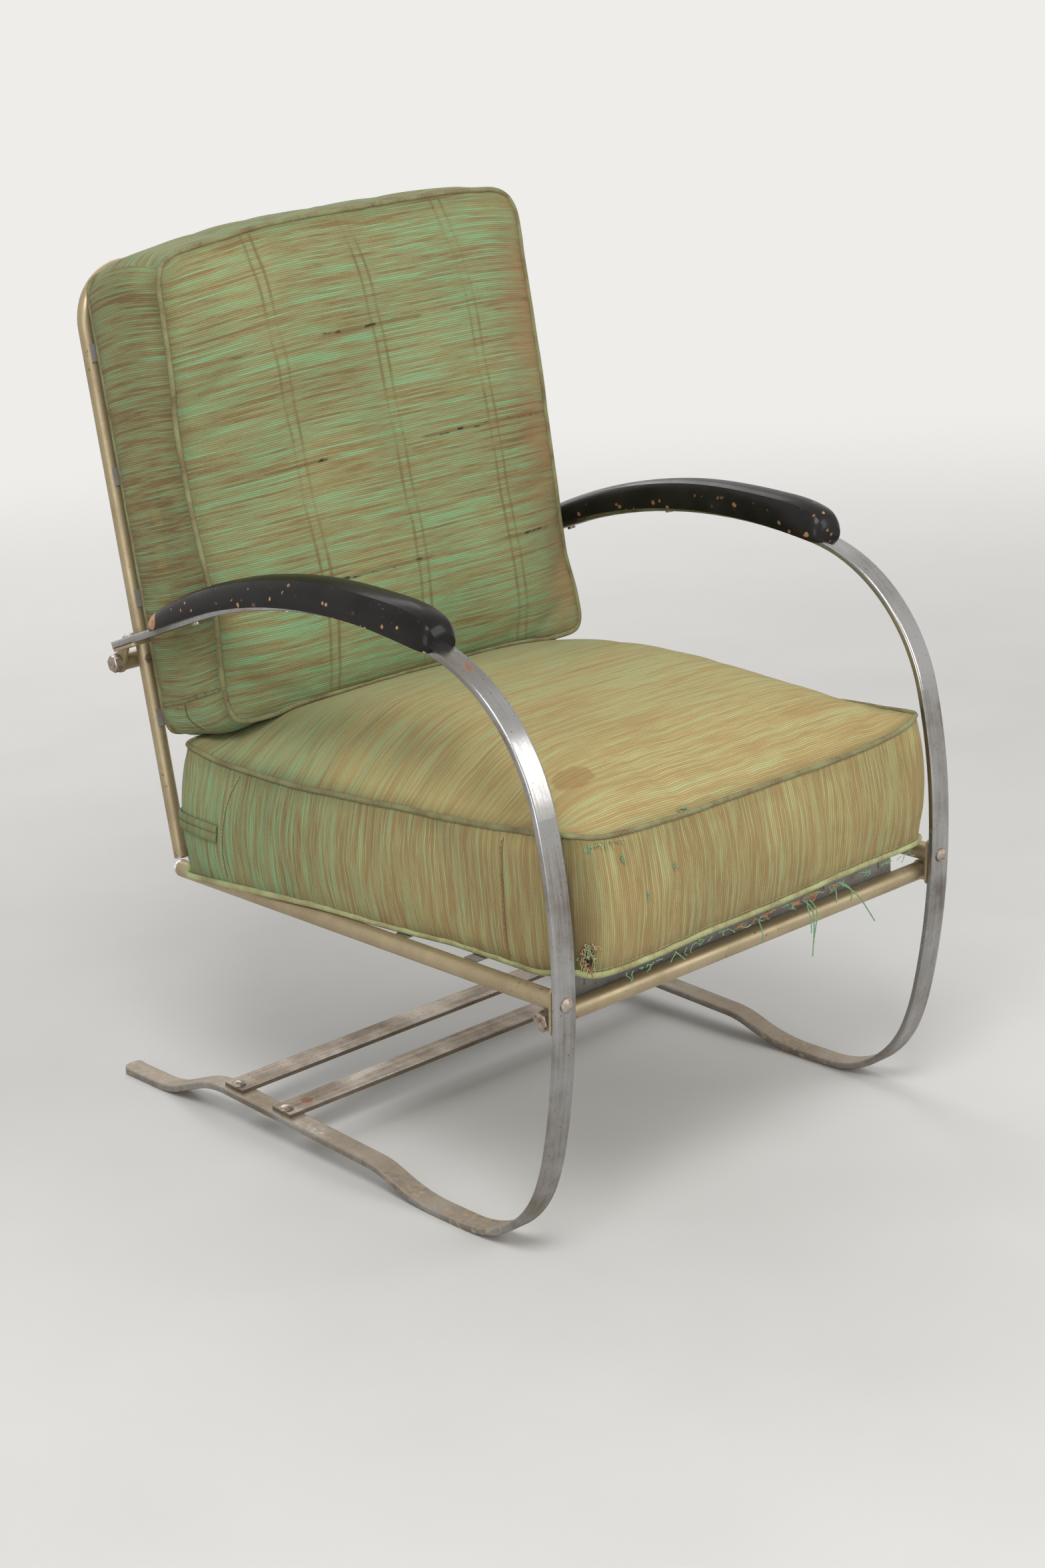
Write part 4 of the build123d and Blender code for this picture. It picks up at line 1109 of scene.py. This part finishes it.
def boxing_place(side, forward, up, lift=0.0):
    """Place and outward direction on a side of the back cushion."""
    return hit(back_surface, hoop_place(side * 0.4, up, forward), (-side, 0, 0), lift)


def flap_row(side, rise, lift=0.0):
    row = []
    for step in range(FLAP_STEPS + 1):
        forward = FLAP_START + FLAP_LENGTH * step / FLAP_STEPS
        row.append(boxing_place(side, forward, through(forward, FLAP_FOLD) + rise, lift))
    return row


def slit_line(side, shift, lift):
    return [boxing_place(side, forward + shift, up - 0.25 * shift, lift)[0] for forward, up in ZIP_SLIT]


flaps = []
flap_stitch_paths = []
slit_paths = []
for side, name in ((-1, "zip_flap_left"), (1, "zip_flap_right")):
    flaps.append(sewn_strip(name, [flap_row(side, 0.0012 * row) for row in range(5)], rise=0.0016))
    flap_stitch_paths.append([place for place, normal in flap_row(side, rise=0.0068, lift=0.0004)])
    flap_stitch_paths.append(slit_line(side, shift=-0.0095, lift=0.0004))
    flap_stitch_paths.append(slit_line(side, shift=0.0085, lift=0.0004))
    slit_paths.append(slit_line(side, shift=0.0, lift=0.0003))
flap_stitches = stitch_row("flap_stitches", flap_stitch_paths, pitch=0.0034, radius=0.00038)
back_zip_slits = round_curve("back_zip_slits", slit_paths, radius=0.0008, fine=1)

# %% [markdown]
# Along the lower front seam the cloth has frayed. A few long green threads hang from it, a tangle of
# short green and rust ones runs along the welt, and more lie over the torn spot and in a worn row under
# the upper welt. Rays sent at the cushion find the cloth that they start on. The long ones are listed one
# by one, and the short ones come from a seeded random generator, so each run gives the same.

# %% Frayed threads
LONG_THREADS = [
    ((0.052, -0.3855, 0.2925), (0.0606, -0.389, 0.2854), (0.064, -0.3895, 0.2656), (0.0598, -0.3885, 0.231)),
    ((0.06, -0.3855, 0.2915), (0.07, -0.39, 0.279), (0.064, -0.3895, 0.26), (0.0615, -0.3885, 0.244)),
    ((0.057, -0.3855, 0.292), (0.056, -0.388, 0.28), (0.06, -0.389, 0.27), (0.059, -0.3885, 0.256)),
    ((0.104, -0.3855, 0.296), (0.124, -0.39, 0.283), (0.143, -0.3895, 0.256), (0.153, -0.3885, 0.2415)),
    ((0.107, -0.3855, 0.296), (0.118, -0.389, 0.288), (0.121, -0.389, 0.28), (0.118, -0.3885, 0.2725)),
    ((0.098, -0.3855, 0.2955), (0.099, -0.388, 0.286), (0.098, -0.388, 0.2765)),
    ((-0.013, -0.3855, 0.2915), (-0.009, -0.3885, 0.28), (-0.0095, -0.388, 0.269)),
    ((-0.126, -0.385, 0.2915), (-0.122, -0.3885, 0.287), (-0.117, -0.3885, 0.2815)),
    ((-0.036, -0.3855, 0.2915), (-0.033, -0.389, 0.287), (-0.027, -0.3885, 0.2905)),
]
FRAYED_SPOTS = ((-0.2285, 0.4250, 5), (-0.1881, 0.4040, 6), (-0.1251, 0.3815, 3), (-0.1599, 0.3638, 3))
THREAD_RADIUS = 0.00045
WELT_GREENS = 46
WELT_RUSTS = 34
TEAR_THREADS = 54
ROW_THREADS = 30
TOP_THREADS = 9
chance = random.Random(11)


def curl(start, reach, drop):
    """A short thread from a start, wandering sideways and down."""
    path = [start]
    for step in range(3):
        sideways = chance.uniform(-reach, reach)
        outwards = chance.uniform(-0.0012, 0.0)
        downwards = chance.uniform(-drop, drop * 0.4)
        path.append(path[-1] + Vector((sideways, outwards, downwards)))
    return path


def welt_front(x):
    return Vector((x, -0.3858, through(x, FRONT_LOW) - 0.0030))


def on_boxing(x, z):
    return hit(seat_surface, (x, -0.6, z), (0, 1, 0))[0] + Vector((0, -0.0006, 0))


green_paths = []
rust_paths = []
tan_paths = []
for count in range(WELT_GREENS):
    green_paths.append(curl(welt_front(chance.uniform(-0.19, 0.22)), reach=0.006, drop=0.0040))
for count in range(WELT_RUSTS):
    rust_paths.append(curl(welt_front(chance.uniform(-0.045, 0.105)), reach=0.008, drop=0.0030))
for count in range(TEAR_THREADS):
    angle = chance.uniform(0, 6.28)
    spread = math.sqrt(chance.uniform(0.1, 1.2))
    x = TEAR.x + 0.0065 * spread * math.cos(angle)
    z = TEAR.z + 0.0130 * spread * math.sin(angle)
    paths = chance.choice((green_paths, tan_paths, rust_paths, tan_paths))
    paths.append(curl(on_boxing(x, z), reach=0.0035, drop=0.0060))
for count in range(ROW_THREADS):
    share = chance.uniform(0, 1)
    start = on_boxing(-0.2295 + 0.0473 * share, 0.4255 - 0.0065 * share)
    paths = chance.choice((green_paths, tan_paths))
    paths.append(curl(start, reach=0.0016, drop=0.0032))
for x, z, amount in FRAYED_SPOTS:
    for count in range(amount):
        green_paths.append(curl(on_boxing(x + chance.uniform(-0.002, 0.002), z), reach=0.0012, drop=0.0045))
for count in range(TOP_THREADS):
    x = -0.0975 + chance.uniform(-0.004, 0.004)
    top = hit(seat_surface, (x, -0.3745, 0.6), (0, 0, -1))[0]
    green_paths.append(curl(top + Vector((0, -0.0005, 0.0016)), reach=0.0050, drop=0.0008))
green_threads = round_curve("green_threads", green_paths, THREAD_RADIUS, fine=0)
rust_threads = round_curve("rust_threads", rust_paths, THREAD_RADIUS, fine=0)
tan_threads = round_curve("tan_threads", tan_paths, THREAD_RADIUS, fine=0)
long_paths = [[Vector(place) for place in path] for path in LONG_THREADS]
long_threads = round_curve("long_threads", long_paths, radius=0.00065, fine=1)
print("threads", len(green_paths), "green,", len(rust_paths), "rust,", len(tan_paths), "tan")

# %% [markdown]
# The cloth is a ribbed slub weave: thick yarns side by side, each with its own run of mint, tan and rust
# along its length. The number of a yarn comes from the distance across the cloth, and it picks that
# yarn's own noise. Two colour ramps turn the sum of the noises into fresh green cloth and into cloth
# faded to tan. Each cushion says how faded a place is, and how far it leans to brown or to mint; on the
# back that lean also carries painted shade and painted light. The grooves between the yarns are painted
# darker as painted shade, and grime gathers along the seams.

# %% Slub cloth
YARN_PITCH = 0.0024
DARK_YARN_AND_SHADE = (0.060, 0.050, 0.022, 1)
BROWN_YARN = (0.178, 0.120, 0.053, 1)
OLIVE_YARN = (0.225, 0.208, 0.094, 1)
GREEN_YARN = (0.212, 0.250, 0.116, 1)
MINT_YARN = (0.192, 0.345, 0.178, 1)
FADED_BROWN = (0.370, 0.262, 0.111, 1)
FADED_TAN = (0.408, 0.320, 0.136, 1)
FADED_PALE = (0.432, 0.380, 0.172, 1)
FADED_MINT = (0.360, 0.450, 0.224, 1)


def cloth_place(tree):
    return made(tree, "UVMap", {}, "UV", uv_map="weave")


def joined(first, second):
    return made(first.tree, "CombineXYZ", {"X": first, "Y": second})


def yarn_noise(along, across, along_scale, across_scale, detail):
    return noise(joined(along * along_scale, across * across_scale), 1.0, detail, 0.55)


def slub_cloth(name, faded, marks):
    material, shader, place = new_finish(name)
    flat = cloth_place(place.tree)
    along, depth = axes(flat)[:2]
    across = depth + noise(flat, 5.0, 2.0) * 0.004
    counted = across / YARN_PITCH
    yarn = number("FLOOR", counted)
    ridge = number("SINE", number("FRACT", counted) * math.pi)
    own = stretch(yarn_noise(along, yarn, 9.0, 7.31, 3.0), 0.28, 0.72)
    bands = stretch(yarn_noise(along, across, 3.0, 30.0, 2.0), 0.30, 0.70)
    slubs = stretch(yarn_noise(along, across, 16.0, 240.0, 2.0), 0.28, 0.72)
    fibres = stretch(yarn_noise(along, across, 60.0, 1900.0, 1.0), 0.25, 0.75)
    grain = stretch(yarn_noise(along, across, 420.0, 900.0, 1.0), 0.25, 0.75)
    fade, lean = faded(place)
    tone = weighed((bands, 0.10), (slubs, 0.14), (own, 0.48), (fibres, 0.14), (grain, 0.14)) + lean
    fresh = ramp(tone, (0.24, BROWN_YARN), (0.42, OLIVE_YARN), (0.55, GREEN_YARN), (0.74, MINT_YARN))
    old = ramp(tone, (0.22, FADED_BROWN), (0.42, FADED_TAN), (0.58, FADED_PALE), (0.78, FADED_MINT))
    colour = mix(fade, fresh, old)
    thin = stretch(yarn_noise(along, yarn, 12.0, 3.77, 2.0), 0.62, 0.74, 0.0, 0.30)
    colour = mix(thin, colour, BROWN_YARN)
    # painted shade: the grooves between the yarns are darkened
    colour = mix(stretch(ridge, 0.0, 0.8, 0.42, 0.0), colour, DARK_YARN_AND_SHADE)
    gap = made(place.tree, "Attribute", {}, "Fac", attribute_name="seam_gap")
    grime = stretch(gap, 0.020, 0.002) * noise(flat, 22.0, 3.0)
    colour = mix(grime * 0.45, colour, DARK_YARN_AND_SHADE)
    dress(shader, {
        "Base Color": marks(colour, place, along, depth),
        "Roughness": 0.9,
        "Sheen Weight": 0.05,
        "Sheen Roughness": 0.5,
        "Specular IOR Level": 0.2,
    })
    weft = yarn_noise(along, across, 1400.0, 500.0, 1.0)
    height = weighed((ridge, 0.60), (own, 0.30), (fibres, 0.30), (weft, 0.35))
    bumped(shader, height, strength=0.40, distance=0.0005)
    return material


# %% [markdown]
# The seat has faded most on its top and along the front, and the back kept its green except at the right
# edge, where it is rusty brown. Where the upright straps press from behind, the back shows pairs of worn
# lines, and broken brown rows where the cross straps lie. The seat has a brown spill, grime together with
# painted shade at its front left corner beside the bar, and a torn spot painted dark as the shade inside
# the hole. The back's side boxing is painted browner as painted shade, and its low part leans lighter and
# greener, partly its own green and partly painted light where the arm pads shade it.

# %% Fading and marks
STRAP_PITCH = 0.1276
STRAP_EDGE = 0.0057
ROW_PITCH = 0.132
STRAP_MIDDLE = 0.010
ROW_MIDDLE = 0.400


def seat_fade(place):
    y, z = axes(place)[1:]
    patch = stretch(noise(place, 7.0, 3.0), 0.30, 0.70)
    forward = stretch(y, 0.10, -0.33)
    raised = stretch(z, 0.405, 0.435)
    fade = number("MINIMUM", weighed((patch, 0.28), (forward, 0.45), (raised, 0.62)), 1.0)
    return fade, stretch(y, -0.38, 0.18, -0.14, 0.04) + raised * 0.06


def back_fade_and_painted_light(place):
    x, y, z = axes(place)
    patch = stretch(noise(place, 6.0, 3.0), 0.38, 0.78, 0.0, 0.30)
    # painted shade: the side boxing of the back leans browner and darker, for sides turned from the light
    boxing = stretch(abs(x), 0.234, 0.240, 0.0, -0.07)
    # the low part of the back leans lighter and greener: partly its own green, partly painted light where
    # the arm pads shade it
    return patch, boxing + stretch(z, 0.64, 0.48, 0.0, 0.07)


def from_nearest(value, pitch):
    """Distance to the nearest whole number of pitches."""
    return abs(number("WRAP", value, pitch / 2, -pitch / 2))


def strap_marks(colour, place, along, up):
    """Two thin lines where each upright strap pressed from behind, and brown rows at the crossings."""
    on_front = number("LESS_THAN", up, 1.0) * number("GREATER_THAN", up, 0.0)
    marked = on_front * stretch(along, -0.190, -0.160)
    spot = joined(along, up)
    rusty = stretch(noise(spot, 8.0, 3.0), 0.32, 0.62, 0.0, 0.6) * stretch(along, 0.150, 0.232) * on_front
    colour = mix(rusty, colour, (0.300, 0.150, 0.062, 1))
    slant = (up - ROW_MIDDLE) * 0.045
    wander = (noise(spot, 7.0, 2.0) - 0.5) * 0.012
    off_edge = abs(from_nearest(along - STRAP_MIDDLE + wander + slant, STRAP_PITCH) - STRAP_EDGE)
    uneven = stretch(noise(spot, 13.0, 4.0), 0.32, 0.66, 0.12, 0.72)
    line = stretch(off_edge, 0.0030, 0.0006) * uneven
    colour = mix(line * marked, colour, (0.150, 0.102, 0.042, 1))
    dots = stretch(noise(spot, 230.0, 1.0), 0.68, 0.74) * stretch(off_edge, 0.0022, 0.0006) * marked
    colour = mix(dots, colour, (0.16, 0.055, 0.020, 1))
    row = stretch(from_nearest(up - ROW_MIDDLE, ROW_PITCH), 0.0030, 0.0008) * marked
    worn = stretch(yarn_noise(along, up, 10.0, 14.0, 2.0), 0.44, 0.54, 0.0, 0.65)
    colour = mix(row * worn, colour, (0.135, 0.095, 0.042, 1))
    dark = stretch(yarn_noise(along, up, 60.0, 170.0, 2.0), 0.54, 0.62) * worn * 1.4
    return mix(row * dark, colour, (0.030, 0.022, 0.012, 1))


def blot(spot, centre, size, ragged):
    """1 inside a ragged ellipse on the cloth, 0 outside."""
    u, v = axes(spot)[:2]
    reach = ((u - centre[0]) / size[0]) ** 2 + ((v - centre[1]) / size[1]) ** 2
    return stretch(reach + noise(spot, ragged, 3.0) * 1.1, 1.65, 1.20)


def seat_marks(colour, place, along, depth):
    spot = joined(along, depth)
    spill = blot(spot, (-0.168, 3.082), (0.024, 0.017), 70.0)
    colour = mix(spill * 0.5, colour, (0.245, 0.125, 0.045, 1))
    x, y = axes(place)[:2]
    # grime and painted shade: the front left corner of the seat boxing, beside the bar, is darkened
    corner = stretch(x, -0.205, -0.243) * stretch(y, -0.350, -0.374)
    colour = mix(corner * 0.55, colour, DARK_YARN_AND_SHADE)
    # painted shade: the inside of the tear is painted near black
    torn = blot(spot, (4.950, -7.2363), (0.0130, 0.0062), 260.0)
    return mix(torn, colour, (0.045, 0.030, 0.016, 1))


seat_cloth = slub_cloth("seat_slub_cloth", seat_fade, seat_marks)
back_cloth = slub_cloth("back_slub_cloth", back_fade_and_painted_light, strap_marks)
seat.data.materials.append(seat_cloth)
back.data.materials.append(back_cloth)

# %% [markdown]
# The welts are cut from the same cloth on the cross, so their yarns run round the cord at a slant. A sine
# along the cord, shifted with the way round it, gives that slanted rib. The lower seat welt, which nobody
# sits on, kept a paler green. Lips and flaps take the slub cloth of their cushion, and stitches and
# threads get plain spun-thread finishes.

# %% Piping, thread and zip
def piping_finish(name, *stops):
    material, shader, place = new_finish(name)
    along, girth = axes(cloth_place(place.tree))[:2]
    rib = stretch(number("SINE", (along + girth * 0.8) * 3300.0), -1.0, 1.0)
    wear = stretch(noise(joined(along, 0.0), 30.0, 3.0), 0.3, 0.7)
    speck = noise(place, 700.0, 2.0)
    tone = weighed((wear, 0.30), (speck, 0.45), (rib, 0.25))
    dress(shader, {"Base Color": ramp(tone, *stops), "Roughness": 0.9, "Sheen Weight": 0.05})
    bumped(shader, weighed((rib, 0.7), (speck, 0.3)), strength=0.5, distance=0.0004)
    return material


def thread_finish(name, dark, light):
    material, shader, place = new_finish(name)
    twist = noise(place, 900.0, 2.0)
    dress(shader, {"Base Color": ramp(twist, (0.35, dark), (0.65, light)), "Roughness": 0.8})
    bumped(shader, twist, strength=0.3, distance=0.0002)
    return material


piping = piping_finish(
    "piping_cloth", (0.22, DARK_YARN_AND_SHADE), (0.40, BROWN_YARN), (0.52, OLIVE_YARN), (0.66, GREEN_YARN)
)
pale_piping = piping_finish(
    "pale_piping_cloth", (0.22, BROWN_YARN), (0.42, GREEN_YARN), (0.58, FADED_PALE), (0.72, FADED_MINT)
)
green_thread = thread_finish("green_thread", (0.090, 0.190, 0.095, 1), (0.210, 0.400, 0.215, 1))
rust_thread = thread_finish("rust_thread", (0.240, 0.085, 0.032, 1), (0.470, 0.200, 0.085, 1))
tan_thread = thread_finish("tan_thread", (0.270, 0.215, 0.105, 1), (0.500, 0.430, 0.240, 1))
dark_thread = thread_finish("dark_thread", (0.050, 0.048, 0.024, 1), (0.120, 0.110, 0.055, 1))

brass, shader, place = new_finish("zip_brass")
grain = noise(place, 600.0, 2.0)
teeth = ramp(grain, (0.35, (0.20, 0.13, 0.055, 1)), (0.65, (0.42, 0.29, 0.13, 1)))
dress(shader, {"Base Color": teeth, "Metallic": 0.9, "Roughness": 0.42})
bumped(shader, grain, strength=0.5, distance=0.0004)

SEWN = [
    (piping, (seat_upper_welt, back_front_welt, back_rear_welt)),
    (pale_piping, (seat_lower_welt,)),
    (seat_cloth, (zip_upper_lip, zip_lower_lip)),
    (back_cloth, flaps),
    (brass, (zip_teeth,)),
    (dark_thread, (boxing_seams, back_zip_slits)),
    (tan_thread, (boxing_stitches, hem_stitches, flap_stitches, tan_threads)),
    (rust_thread, (rust_stitches, rust_threads)),
    (green_thread, (green_threads, long_threads)),
]
for material, pieces in SEWN:
    for piece in pieces:
        piece.data.materials.clear()
        piece.data.materials.append(material)
print("sewn pieces", sum(len(pieces) for material, pieces in SEWN))

# %% [markdown]
# Each cloth piece is tied to the part of the model that it moves with, and the two cushions stand in for
# the plain CAD solids, which stay hidden.

# %% Tie the cloth to the model
seat_pieces = [
    seat, seat_upper_welt, seat_lower_welt, zip_upper_lip, zip_lower_lip, zip_teeth, boxing_seams,
    boxing_stitches, rust_stitches, hem_stitches, green_threads, rust_threads, tan_threads, long_threads,
]
back_pieces = [back, back_front_welt, back_rear_welt, *flaps, flap_stitches, back_zip_slits]
for piece in seat_pieces:
    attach(piece, "seat_pad")
for piece in back_pieces:
    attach(piece, "back_pad")
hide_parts("seat_cushion")
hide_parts("back_cushion")
bpy.ops.object.select_all(action="DESELECT")
print("tied", len(seat_pieces), "pieces to the seat and", len(back_pieces), "to the back")
